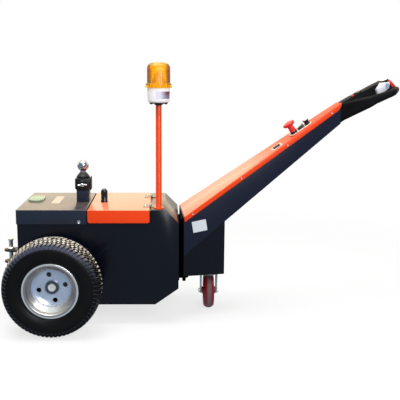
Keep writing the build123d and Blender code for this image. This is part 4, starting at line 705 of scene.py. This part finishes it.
# Painted glow: the white base is given a faint glow in its own colour.
white_base_painted_glow, white_shader, at = start_finish("white_base_painted_glow", IOR=1.48, Emission_Strength=0.1)
cloud = at.noise(24.0, 3.0)
milky = cloud.mix(rgb(246, 241, 242), rgb(252, 248, 248))
feed(white_shader, Base_Color=milky, Emission_Color=milky, Roughness=0.25 + 0.14 * cloud,
     Normal=at.noise(GRAIN_SCALE).bump(0.00004))
base_form = spin_profile(
    [(0, 0), (0, BASE_R - 0.016), *arc((0.010, BASE_R - 0.0125), 0.010, 180, 95, 6),
     (BASE_SEAM, BASE_R - 0.0008), (BASE_SEAM + 0.0002, BASE_R - 0.0016),
     (BASE_SEAM + 0.0015, BASE_R - 0.0016), (BASE_SEAM + 0.0017, BASE_R - 0.0006),
     (BASE_HEIGHT - 0.010, BASE_R), (BASE_HEIGHT, BASE_R), (BASE_HEIGHT, 0)], beacon_spot, 72)
place("beacon_base_moulded", base_form, white_base_painted_glow, "chassis", "white_plastic", "beacon_base")

FILM_LOW, FILM_HIGH, FILM_SUNK = 0.27 * BASE_HEIGHT, 0.76 * BASE_HEIGHT, 0.004
FILM_START, FILM_END = radians(-12.0), radians(72.0)
film = bmesh.new()
film_way = Vector((sin(FILM_START), -cos(FILM_START), 0))
film_corners = [film.verts.new(beacon_spot + reach * film_way + Vector((0, 0, rise)))
                for rise, reach in ((FILM_LOW, BASE_R - FILM_SUNK), (FILM_LOW, BASE_R - 0.0010),
                                    (FILM_HIGH, BASE_R + 0.0004), (FILM_HIGH, BASE_R - FILM_SUNK))]
sweep_loop(film, film_corners, beacon_spot, (0, 0, 1), FILM_END - FILM_START, 20)
film_tint, film_shader, at = start_finish("base_film", IOR=1.4)
rightward = at.part("X").between(beacon_spot.x, beacon_spot.x + 0.8 * BASE_R)
middle = at.part("Z").between(beacon_spot.z + 0.45 * BASE_HEIGHT, beacon_spot.z + 0.6 * BASE_HEIGHT)
film_end_tint = middle.mix(rgb(128, 120, 150), rgb(120, 62, 80))
feed(film_shader, Base_Color=rightward.mix(rgb(236, 230, 246), film_end_tint),
     Roughness=0.3 + 0.2 * at.noise(60.0))
place("base_film_label", film, film_tint, "chassis", "white_plastic")

lens_low, lens_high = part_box("beacon_lens")
lens_spot = Vector((beacon_spot.x, beacon_spot.y, lens_low.z))
LENS_RING_R, LENS_TOP = (lens_high.x - lens_low.x) / 2, lens_high.z - lens_low.z
LENS_FOOT_R, LENS_CROWN_R, LENS_ROUND, LENS_WALL = 0.048, 0.046, 0.026, 0.003
LENS_RING_TOP, LENS_FOOT, LENS_INNER_R = 0.018, 0.022, LENS_FOOT_R - LENS_WALL
LENS_RIBS, RIB_DEPTH, RIB_START, RIB_END, RIB_INNER = 40, 0.0011, 0.02, LENS_TOP - 0.004, 0.02
crown_arc = arc((LENS_TOP - LENS_ROUND, LENS_CROWN_R - LENS_ROUND + 0.0018), LENS_ROUND, 86, 0, 9)
inner_arc = [(along - LENS_WALL, max(reach - LENS_WALL, 0)) for along, reach in reversed(crown_arc)]
lens_form = spin_profile(
    [(0, LENS_INNER_R), (0, LENS_RING_R - 0.001), (0.001, LENS_RING_R), (LENS_RING_TOP - 0.002, LENS_RING_R),
     (LENS_RING_TOP, LENS_RING_R - 0.002), (LENS_RING_TOP, LENS_FOOT_R), (LENS_FOOT, LENS_FOOT_R - 0.0003),
     *crown_arc, (LENS_TOP, 0), (LENS_TOP - LENS_WALL, 0), *inner_arc, (LENS_FOOT, LENS_INNER_R),
     (0, LENS_INNER_R)], lens_spot, 4 * LENS_RIBS)
for vert in lens_form.verts:
    reach = Vector((vert.co.x - lens_spot.x, vert.co.y - lens_spot.y, 0))
    if RIB_START < vert.co.z - lens_spot.z < RIB_END and reach.length > RIB_INNER:
        swing = 0.5 - 0.5 * cos(LENS_RIBS * reach.xy.angle_signed(Vector((1, 0))))
        vert.co -= reach.normalized() * RIB_DEPTH * swing


def off_middle(at, middle, near, far):
    """0 near an upright plane across the machine's length, rising to 1 far off it on both sides."""
    distance = at.part("X") - middle
    return (distance * distance).between(near ** 2, far ** 2)


amber, amber_shader, at = start_finish("amber_lens", Transmission_Weight=0.94, IOR=1.38)
above_ring = at.part("Z").between(lens_spot.z + 0.017, lens_spot.z + 0.021)
# Painted shade: the lens wall turns dark brown towards its sides, standing in for the darker look of the walls
# seen edge-on.
painted_wall_shade = off_middle(at, lens_spot.x, 0.026, 0.043) * above_ring
amber_tint = at.noise(40.0, 3.0).mix(rgb(238, 188, 0), rgb(246, 200, 0))
feed(amber_shader, Base_Color=painted_wall_shade.mix(amber_tint, rgb(120, 52, 0)),
     Roughness=0.06 + 0.06 * at.noise(80.0))
place("beacon_lens_ribbed", lens_form, amber, "chassis", "amber_lens", "beacon_lens", crease=60.0)
# Painted glow: the reflector shines in a warm pale colour, standing in for light that passes into the lens.
reflector_painted_glow, reflector_shader, at = start_finish("reflector_painted_glow", Emission_Strength=0.5)
flecks = at.noise(60.0, 3.0).mix(rgb(206, 170, 96), rgb(250, 226, 150))
feed(reflector_shader, Base_Color=flecks, Emission_Color=flecks, Roughness=0.2 + 0.2 * at.noise(90.0))
coat("beacon_reflector", reflector_painted_glow)

# Painted glow and painted shade: the dish shines in a pale warm colour and is dark brown towards its sides.
dish_painted_glow, dish_shader, at = start_finish("dish_painted_glow", Emission_Strength=0.42)
dish_tint = at.noise(45.0, 2.0).mix(rgb(255, 226, 170), rgb(255, 240, 214))
dish_painted_light = off_middle(at, lens_spot.x, 0.031, 0.041).mix(dish_tint, rgb(96, 40, 8))
feed(dish_shader, Base_Color=dish_painted_light, Emission_Color=dish_painted_light, Roughness=0.2 + 0.1 * at.noise(90.0))
DISH_R, DISH_BORE_R, DISH_SHEET, DISH_TOP = 0.0435, 0.0285, 0.0005, 0.060
DISH_FOOT, DISH_FLOOR, DISH_FRONT_TOP, DISH_FRONT = 0.001, 0.003, 0.006, 0.004
dish = spin_profile([(DISH_FOOT, DISH_BORE_R), (DISH_FOOT, DISH_R), (DISH_TOP, DISH_R),
                     (DISH_TOP, DISH_R - DISH_SHEET), (DISH_FLOOR, DISH_R - DISH_SHEET),
                     (DISH_FLOOR, DISH_BORE_R)], lens_spot, 64)
for vert in dish.verts:
    if vert.co.y < lens_spot.y - DISH_FRONT and vert.co.z > lens_spot.z + DISH_FRONT_TOP:
        vert.co.z = lens_spot.z + DISH_FRONT_TOP
place("beacon_dish", dish, dish_painted_glow, "chassis", "chrome")

BOLT_SPREAD, BOLT_R, BRACKET_FLANGE, BASE_BOLTS = 0.030, 0.006, 0.004, 4
base_bolts = bmesh.new()
for index in range(BASE_BOLTS):
    turn = tau * index / BASE_BOLTS
    bolt = beacon_spot + Vector((BOLT_SPREAD * cos(turn), BOLT_SPREAD * sin(turn), -BRACKET_FLANGE))
    add_screw(base_bolts, bolt, (0, 0, -1), BOLT_R)
place("beacon_bolts", base_bolts, black_coat, "chassis", "dark_steel")

# Steering hinge: a black bracket with two ears welded to the body, a barrel on the tiller column between
# the ears, and a pin dropped through all three. A small black plate fills the gap beside the lower ear as
# painted shade. All are in a dull black primer.
WEB_THICK, WEB_HEIGHT, WEB_SIDE, WEB_OUT, WEB_CORNER = 0.006, 0.070, -0.006, 0.0116, 0.0005
hinge_black = moulded("hinge_black", rgb(16, 17, 20), rgb(11, 12, 14), 0.7, 0.0001, 0.0)
dress("steer_bracket", hinge_black, PLATE_ROUND)
dress("steer_pin", hinge_black, PIN_ROUND)
coat("steer_barrel", hinge_black)
bracket_back, barrel_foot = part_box("steer_bracket")[0].x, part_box("steer_barrel")[0].z
web_spot = Vector((bracket_back + WEB_OUT / 2, WEB_SIDE, barrel_foot + WEB_HEIGHT / 2))
# Painted shade: a black plate set in the gap beside the lower ear, where there is only shade.
web = bmesh.new()
add_slab(web, Matrix.Translation(web_spot) @ Matrix.Rotation(pi / 2, 4, "X"), WEB_OUT, WEB_HEIGHT, WEB_THICK,
         WEB_CORNER)
place("bracket_shade_plate", web, hinge_black, "chassis", "dark_steel")

# Tiller column and arm: a folded navy box on the castor, with the tapering arm's two cheeks welded over
# it. The orange cover slides over the arm and is held by a row of bright screws in each flange. A black
# strip that reflects nothing lies on the column's back on each side of the hinge, a dark sheet set as
# painted shade in the gap.
hinge_joint = next(joint for joint in frame["joints"] if joint["name"] == "tiller_steer")
TILLER_YAW = radians(3.0)
tiller_frame = Matrix.Translation((hinge_joint["pos_m"][0], 0, 0)) @ Matrix.Rotation(TILLER_YAW, 4, "Z")
# Painted shade: the column has a darker copy of the navy coat.
column_navy_painted_shade = powder_coat("column_navy_painted_shade", rgb(8, 11, 22), rgb(5, 8, 17), 0.24, 0.3, 1.36)
dress("tiller_column", column_navy_painted_shade, FOLD_ROUND)
COLUMN_BACK, COLUMN_LOW = -0.013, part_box("tiller_column")[0].z
STRIP_IN, STRIP_OUT, STRIP_HEIGHT, STRIP_THICK, STRIP_CORNER = 0.062, 0.126, 0.250, 0.0008, 0.002
STRIP_MIDDLE = COLUMN_LOW + 0.004 + STRIP_HEIGHT / 2
# Painted shade: black strips that reflect nothing, put on the column's back where the gap lies in shade.
painted_shade_black = moulded("painted_shade_black", rgb(9, 9, 11), rgb(6, 6, 8), 0.8, 0.0001, 0.0)
shade_strips = bmesh.new()
for side in (-1, 1):
    seat = (tiller_frame @ Matrix.Translation((COLUMN_BACK, side * (STRIP_IN + STRIP_OUT) / 2, STRIP_MIDDLE))
            @ Matrix.Rotation(-pi / 2, 4, "Y"))
    add_slab(shade_strips, seat, STRIP_HEIGHT, STRIP_OUT - STRIP_IN, STRIP_THICK, STRIP_CORNER)
place("column_shade_strips", shade_strips, painted_shade_black, "tiller", "tyre")
# Painted light: the arm's cheeks have a lighter copy of the navy coat.
arm_navy_painted_light = powder_coat("arm_navy_painted_light", rgb(22, 26, 47), rgb(18, 21, 40), 0.22, 0.45, 1.4)
dress("tiller_arm", arm_navy_painted_light, FOLD_ROUND)
dress("tiller_cover", orange, FOLD_ROUND)
ARM_ROOT_HALF, ARM_TAPER, ARM_TOP, ARM_SLOPE = 0.139, 0.148, 0.465, 0.69
ARM_PITCH = atan(ARM_SLOPE)


def arm_top_z(u):
    """Height of the cover's top face."""
    return ARM_TOP + ARM_SLOPE * u


def cheek_seat(u, height, side, tilt, proud):
    """Seat on the arm's cheek: X along the arm, tilted up by an angle, and Z out of the cheek."""
    half = ARM_ROOT_HALF - ARM_TAPER * u + proud
    out = Vector((ARM_TAPER, side, 0)).normalized()
    along = Vector((1, -side * ARM_TAPER, 0)).normalized()
    tilted = along * cos(tilt) + Vector((0, 0, 1)) * sin(tilt)
    axes = Matrix((tilted, out.cross(tilted), out)).transposed().to_4x4()
    return tiller_frame @ Matrix.Translation((u, side * half, height)) @ axes


def cover_seat(u, v, proud=0.0):
    """Seat on the cover's top face: X up along the arm and Z out of the face."""
    return (tiller_frame @ Matrix.Translation((u, v, arm_top_z(u))) @ Matrix.Rotation(-ARM_PITCH, 4, "Y")
            @ Matrix.Translation((0, 0, proud)))


def seat_screw(form, seat, radius):
    """Add a screw on a seat whose Z points out."""
    add_screw(form, seat.translation, seat.to_3x3() @ Vector((0, 0, 1)), radius)


COVER_SHEET, COVER_SCREW_R, COVER_SCREW_DROP = 0.0025, 0.0045, 0.013
COVER_SCREWS_AT = (0.026, 0.238, 0.441, 0.639)
cover_screws = bmesh.new()
for side in (-1, 1):
    for u in COVER_SCREWS_AT:
        seat_screw(cover_screws, cheek_seat(u, arm_top_z(u) - COVER_SCREW_DROP, side, 0.0, COVER_SHEET),
                   COVER_SCREW_R)
place("cover_screws", cover_screws, zinc, "tiller", "steel")

# Labels on the arm: a blank white film on the near cheek, and a pale plate with a plain dark field on
# the cover. Both are stuck on.
LABEL_CORNER = 0.002
CHEEK_LABEL_U, CHEEK_LABEL_Z, CHEEK_LABEL_TILT = 0.056, 0.415, radians(9.5)
CHEEK_LABEL_LENGTH, CHEEK_LABEL_WIDTH = 0.063, 0.049
paper, paper_shader, at = start_finish("label_film", Coat_Weight=0.3)
feed(paper_shader, Base_Color=at.noise(30.0, 3.0).mix(rgb(212, 218, 221), rgb(226, 230, 232)),
     Roughness=0.35 + 0.2 * at.noise(60.0))
cheek_label = bmesh.new()
add_slab(cheek_label, cheek_seat(CHEEK_LABEL_U, CHEEK_LABEL_Z, -1, CHEEK_LABEL_TILT, 0.0),
         CHEEK_LABEL_LENGTH, CHEEK_LABEL_WIDTH, LABEL_THICK, LABEL_CORNER)
place("cheek_label", cheek_label, paper, "tiller", "white_plastic")
COVER_LABEL_U, COVER_LABEL_V = 0.405, -0.022
plate_film = moulded("plate_film", rgb(206, 196, 176), rgb(176, 168, 152), 0.35, 0.00002)
field_black = moulded("field_black", rgb(26, 26, 28), rgb(18, 18, 20), 0.5, 0.00002, 0.1)
for name, length, width, proud, finish, slot in (
    ("cover_label", 0.050, 0.066, 0.0, plate_film, "white_plastic"),
    ("cover_label_field", 0.034, 0.044, LABEL_THICK, field_black, "black_plastic"),
):
    cover_label = bmesh.new()
    add_slab(cover_label, cover_seat(COVER_LABEL_U, COVER_LABEL_V, proud), length, width, LABEL_THICK,
             LABEL_CORNER)
    place(name, cover_label, finish, "tiller", slot)

# Controls on the arm: a bright panel screwed to the cover with the red mushroom-headed emergency stop in
# its black collar, a rocker switch and the key switch with its bright ring.
PANEL_THICK, PANEL_U, PANEL_HALF, PANEL_SIDE, PANEL_ROUND = 0.004, 0.514, 0.055, 0.032, 0.0008
PANEL_SCREW_R, PANEL_SCREW_INSET = 0.003, 0.008
panel_steel = plated("panel_steel", rgb(196, 190, 178), rgb(150, 146, 138), 0.3)
dress("switch_panel", panel_steel, PANEL_ROUND)
screw_run = (PANEL_HALF - PANEL_SCREW_INSET) * cos(ARM_PITCH)
screw_side = PANEL_SIDE - PANEL_SCREW_INSET
panel_screws = bmesh.new()
for end in (-1, 1):
    for side in (-1, 1):
        seat = cover_seat(PANEL_U + end * screw_run, side * screw_side, PANEL_THICK)
        seat_screw(panel_screws, seat, PANEL_SCREW_R)
place("panel_screws", panel_screws, zinc, "tiller", "steel")


def turned_on_panel(profile, u, proud=0.0):
    """Round body standing on the panel, from a profile of (height, radius)."""
    form = spin_profile(profile, (0, 0, 0), 48)
    bmesh.ops.transform(form, matrix=cover_seat(u, 0.0, PANEL_THICK + proud), verts=form.verts)
    return form


ESTOP_U, COLLAR_R, COLLAR_HEIGHT = 0.488, 0.0155, 0.008
STEM_R, NECK_R, NECK_TOP, MUSHROOM_R = 0.0145, 0.0125, 0.026, 0.022
red_plastic = moulded("red_plastic", rgb(222, 40, 28), rgb(206, 30, 20), 0.24, 0.00005)
collar = turned_on_panel([(0, 0), (0, COLLAR_R), (COLLAR_HEIGHT / 2, COLLAR_R),
                          (COLLAR_HEIGHT, COLLAR_R - 0.001), (COLLAR_HEIGHT, 0)], ESTOP_U)
place("estop_collar", collar, gloss_black, "tiller", "black_plastic", "estop_base")
mushroom = turned_on_panel(
    [(0, 0), (0, STEM_R), (0.006, STEM_R), (NECK_TOP, NECK_R), (NECK_TOP + 0.0015, NECK_R + 0.001),
     (NECK_TOP + 0.0025, MUSHROOM_R), *arc((0.0370, MUSHROOM_R - 0.0005), 0.0065, 200, 0, 12),
     (0.0470, 0.010), (0.0463, 0)], ESTOP_U, COLLAR_HEIGHT)
place("estop_mushroom", mushroom, red_plastic, "tiller", "red_plastic", "estop_button")

ROCKER_U, ROCKER_LENGTH, ROCKER_WIDTH, ROCKER_HEIGHT = 0.518, 0.030, 0.022, 0.010
ROCKER_CORNER, ROCKER_LEAN, ROCKER_ROUND = 0.003, 0.22, 0.0012
rocker_seat = cover_seat(ROCKER_U, 0.0, PANEL_THICK)
rocker = bmesh.new()
add_slab(rocker, rocker_seat, ROCKER_LENGTH, ROCKER_WIDTH, ROCKER_HEIGHT, ROCKER_CORNER)
for vert in rocker.verts:
    on_seat = rocker_seat.inverted() @ vert.co
    if on_seat.z > ROCKER_HEIGHT / 2:
        vert.co += rocker_seat.to_3x3() @ Vector((0, 0, ROCKER_LEAN * on_seat.x))
round_edges(rocker, ROCKER_ROUND)
place("rocker_switch", rocker, gloss_black, "tiller", "black_plastic")

KEY_U, KEY_FOOT_R, KEY_NECK_R, KEY_HEAD_R, KEY_TOP = 0.546, 0.0135, 0.0110, 0.0140, 0.018
key_body = turned_on_panel(
    [(0, 0), (0, KEY_FOOT_R), (0.005, KEY_FOOT_R), (0.007, KEY_NECK_R), (0.012, KEY_NECK_R),
     (0.014, KEY_HEAD_R), (KEY_TOP, KEY_HEAD_R), (KEY_TOP, 0)], KEY_U)
place("key_body", key_body, gloss_black, "tiller", "black_plastic", "key_switch")
# The key's ring has the near-white steel, a painted highlight.
key_ring = turned_on_panel(
    [(KEY_TOP - 0.0005, KEY_HEAD_R - 0.001), *arc((0.0200, 0.0070), 0.0065, 80, 10, 6), (0.0262, 0.0055),
     (0.0245, 0.005), (0.0245, 0)], KEY_U)
place("key_ring", key_ring, steel_painted_shine, "tiller", "chrome")

# Control head: a loop grip and pod moulded in black plastic, clamped over the arm's end, with pale throttle
# wings on both sides of the pod and the red belly switch across its nose.
HEAD_ROUND, WING_ROUND, BELLY_ROUND = 0.002, 0.003, 0.001
head_black = moulded("head_black", rgb(19, 19, 21), rgb(13, 13, 15), 0.48, 0.00003, 0.06)
dress("control_head", head_black, HEAD_ROUND)
wing_grey = moulded("wing_grey", rgb(226, 226, 230), rgb(208, 210, 216), 0.25, 0.00004)
dress("throttle_wings", wing_grey, WING_ROUND)
dress("belly_button", red_plastic, BELLY_ROUND)

# On the pod's top a small red horn button and a black toggle stand before a pale strip at the nose, which
# is a painted highlight. A bluish pad lies on the end of each wing.
ARM_END, POD_WIDTH, POD_CORNER = 0.683, 0.050, 0.004


def pod_seat(run, rise, slope, aside):
    """Seat on the pod's top, at a run from the arm's end and a rise above the cover there."""
    return (tiller_frame @ Matrix.Translation((ARM_END + run, 0, arm_top_z(ARM_END) + rise))
            @ Matrix.Rotation(-slope, 4, "Y") @ Matrix.Translation((0, aside, 0)))


HORN_AT, HORN_R, HORN_ROUND, HORN_EDGE = (0.0545, 0.0295, 0.48, -0.012), 0.007, 0.003, 0.002
horn = spin_profile([(-HORN_EDGE, 0), (-HORN_EDGE, HORN_R), (HORN_EDGE, HORN_R),
                     *arc((HORN_EDGE, HORN_R - HORN_ROUND), HORN_ROUND, 90, 0, 4),
                     (HORN_EDGE + HORN_ROUND, 0)], (0, 0, 0), 28)
bmesh.ops.transform(horn, matrix=pod_seat(*HORN_AT), verts=horn.verts)
place("horn_button", horn, red_plastic, "tiller", "red_plastic")
TOGGLE_AT, TOGGLE_LENGTH, TOGGLE_WIDTH = (0.080, 0.0415, 0.46, -0.006), 0.026, 0.030
TOGGLE_HEIGHT, TOGGLE_ROUND = 0.008, 0.002
toggle = bmesh.new()
add_slab(toggle, pod_seat(*TOGGLE_AT), TOGGLE_LENGTH, TOGGLE_WIDTH, TOGGLE_HEIGHT, POD_CORNER)
round_edges(toggle, TOGGLE_ROUND)
place("pod_toggle", toggle, gloss_black, "tiller", "black_plastic")
# Painted highlight: a pale strip laid on the pod's top.
POD_STRIP_AT, POD_STRIP_LENGTH, POD_STRIP_THICK = (0.1925, 0.0985, 0.387, 0.0), 0.024, 0.0015
strip = bmesh.new()
add_slab(strip, pod_seat(*POD_STRIP_AT), POD_STRIP_LENGTH, POD_WIDTH, POD_STRIP_THICK, POD_CORNER)
place("pod_highlight_strip", strip, wing_grey, "tiller", "white_plastic")
PAD_LENGTH, PAD_WIDTH, PAD_THICK, PAD_CORNER = 0.014, 0.022, 0.0008, 0.003
PAD_RUN, PAD_RISE, WING_OUT = 0.191, 0.074, 0.058
wing_blue = moulded("wing_blue", rgb(150, 178, 206), rgb(128, 158, 192), 0.2, 0.00003)
wing_pads = bmesh.new()
for side in (-1, 1):
    pad_spot = Vector((ARM_END + PAD_RUN, side * WING_OUT, arm_top_z(ARM_END) + PAD_RISE))
    seat = tiller_frame @ Matrix.Translation(pad_spot) @ Matrix.Rotation(-side * pi / 2, 4, "X")
    add_slab(wing_pads, seat, PAD_LENGTH, PAD_WIDTH, PAD_THICK, PAD_CORNER)
place("wing_pads", wing_pads, wing_blue, "tiller", "white_plastic")

# Castor: a zinc-plated swivel plate and fork bolted under the column, with a dark red wheel whose tread
# is worn grey along its middle.
CASTOR_ROUND = 0.0008
for node in ("castor_plate", "castor_fork", "castor_axle"):
    dress(node, zinc, CASTOR_ROUND)
castor_low, castor_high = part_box("castor_tyre")
CASTOR_MID, CASTOR_HALF = (castor_low.x + castor_high.x) / 2, (castor_high.x - castor_low.x) / 2
castor_red, castor_shader, at = start_finish("castor_red", IOR=1.5)
band = 1 - off_middle(at, CASTOR_MID, 0.245 * CASTOR_HALF, 0.49 * CASTOR_HALF)
grit = at.noise(130.0, 4.0)
clean_red = grit.mix(rgb(112, 12, 20), rgb(150, 20, 28))
feed(castor_shader, Base_Color=(band * (0.55 + 0.45 * grit)).mix(clean_red, rgb(112, 100, 100)),
     Roughness=0.35 + 0.3 * band, Normal=at.noise(500.0).bump(0.0002))
coat("castor_tyre", castor_red)
coat("castor_hub", castor_red)

# Studio: a pale floor that runs out to white, a large soft lamp above the tow end and a weaker one
# by the camera. The camera stands square to the machine's side, a little above its deck.
FLOOR_HALF = 30.0
FADE_START, FADE_END, LEAST_GLOW = 1.0, 2.6, 0.72
AMBIENT, FRONT_GLOSS, BACK_GLOSS, TOP_GLOSS, BENT_GLOW = 0.34, 0.4, 1.7, 0.8, 0.1
WHITE, COOL, WARM = (1.0, 1.0, 1.0, 1.0), (0.72, 0.88, 1.0, 1.0), (1.0, 0.85, 0.64, 1.0)
floor_form = bmesh.new()
bmesh.ops.create_grid(floor_form, x_segments=1, y_segments=1, size=FLOOR_HALF)
floor_mesh = bpy.data.meshes.new("floor")
floor_form.to_mesh(floor_mesh)
floor_form.free()
floor = bpy.data.objects.new("floor", floor_mesh)
bpy.context.scene.collection.objects.link(floor)
pale, pale_shader, at = start_finish("pale_floor", Base_Color=rgb(250, 250, 250), Roughness=0.8)
reach = at.node("VectorMath", {"operation": "LENGTH"}, {0: at}, "Value")
white = at.node("Emission", {}, {"Color": WHITE, "Strength": 1.0})
dusk = at.node("Emission", {}, {"Color": COOL, "Strength": FRONT_GLOSS})
lit = LEAST_GLOW + (1 - LEAST_GLOW) * reach.between(FADE_START, FADE_END)
to_camera = at.node("LightPath", out="Is Camera Ray")
shown = at.node("MixShader", {}, {0: lit * to_camera, 1: Shade(pale_shader.outputs[0]), 2: white})
floor_look = at.node("MixShader", {}, {0: 1 - to_camera, 1: shown, 2: dusk})
pale.node_tree.links.new(floor_look.socket, pale.node_tree.nodes["Material Output"].inputs["Surface"])
floor_mesh.materials.append(pale)

# The hall behind is bright and warm where it mirrors in the flat tops, and cool and dim before the
# machine. Light bent by the lens shows it white only straight behind.
world = bpy.data.worlds.new("studio")
bpy.context.scene.world = world
world.use_nodes = True
background = world.node_tree.nodes["Background"]
heading = Shade(world.node_tree.nodes.new("ShaderNodeTexCoord").outputs["Generated"])
glossy = heading.node("LightPath", out="Is Glossy Ray")
straight = heading.part("Y").between(0.75, 0.96)
seen = (heading.node("LightPath", out="Is Camera Ray")
        + heading.node("LightPath", out="Is Transmission Ray") * (BENT_GLOW + (1 - BENT_GLOW) * straight))
behind = heading.part("Y").between(-0.2, 0.6)
above = heading.part("Z").between(0.45, 0.95)
gloss_glow = FRONT_GLOSS + (BACK_GLOSS - FRONT_GLOSS) * behind * (1 - above) + TOP_GLOSS * above
strength = AMBIENT + seen * (1 - AMBIENT) + glossy * (gloss_glow - AMBIENT)
hall_tint = glossy.mix(WHITE, behind.mix(COOL, WARM))
world.node_tree.links.new(strength.socket, background.inputs["Strength"])
world.node_tree.links.new(hall_tint.socket, background.inputs["Color"])

for name, spot, aim, size, power in (
    ("overhead_lamp", (-0.6, -0.3, 3.4), (-0.1, 0.0, 0.3), 2.6, 112.0),
    ("side_lamp", (0.9, -3.4, 2.2), (-0.2, 0.0, 0.5), 1.8, 86.0),
):
    lamp = bpy.data.lights.new(name, "AREA")
    lamp.size = size
    lamp.energy = power
    holder = bpy.data.objects.new(name, lamp)
    facing = (Vector(aim) - Vector(spot)).to_track_quat("-Z", "Y")
    holder.matrix_world = Matrix.Translation(spot) @ facing.to_matrix().to_4x4()
    bpy.context.scene.collection.objects.link(holder)

CAMERA_SPOT = (AXLE_X + 0.4678, -3.0616, 1.0729)
CAMERA_YAW, CAMERA_PITCH, CAMERA_ROLL = 0.0149, 0.1777, 0.0034
CAMERA_LENS, CAMERA_SHIFT_X, CAMERA_SHIFT_Y = 62.87, 0.0567, -0.0099
eye = bpy.data.cameras.new("camera")
eye.lens = CAMERA_LENS
eye.shift_x, eye.shift_y = CAMERA_SHIFT_X, CAMERA_SHIFT_Y
camera = bpy.data.objects.new("camera", eye)
camera.matrix_world = (Matrix.Translation(CAMERA_SPOT) @ Matrix.Rotation(-CAMERA_YAW, 4, "Z")
                       @ Matrix.Rotation(pi / 2 - CAMERA_PITCH, 4, "X")
                       @ Matrix.Rotation(CAMERA_ROLL, 4, "Z"))
bpy.context.scene.collection.objects.link(camera)
bpy.context.scene.camera = camera
bpy.context.scene.view_settings.view_transform = "Standard"
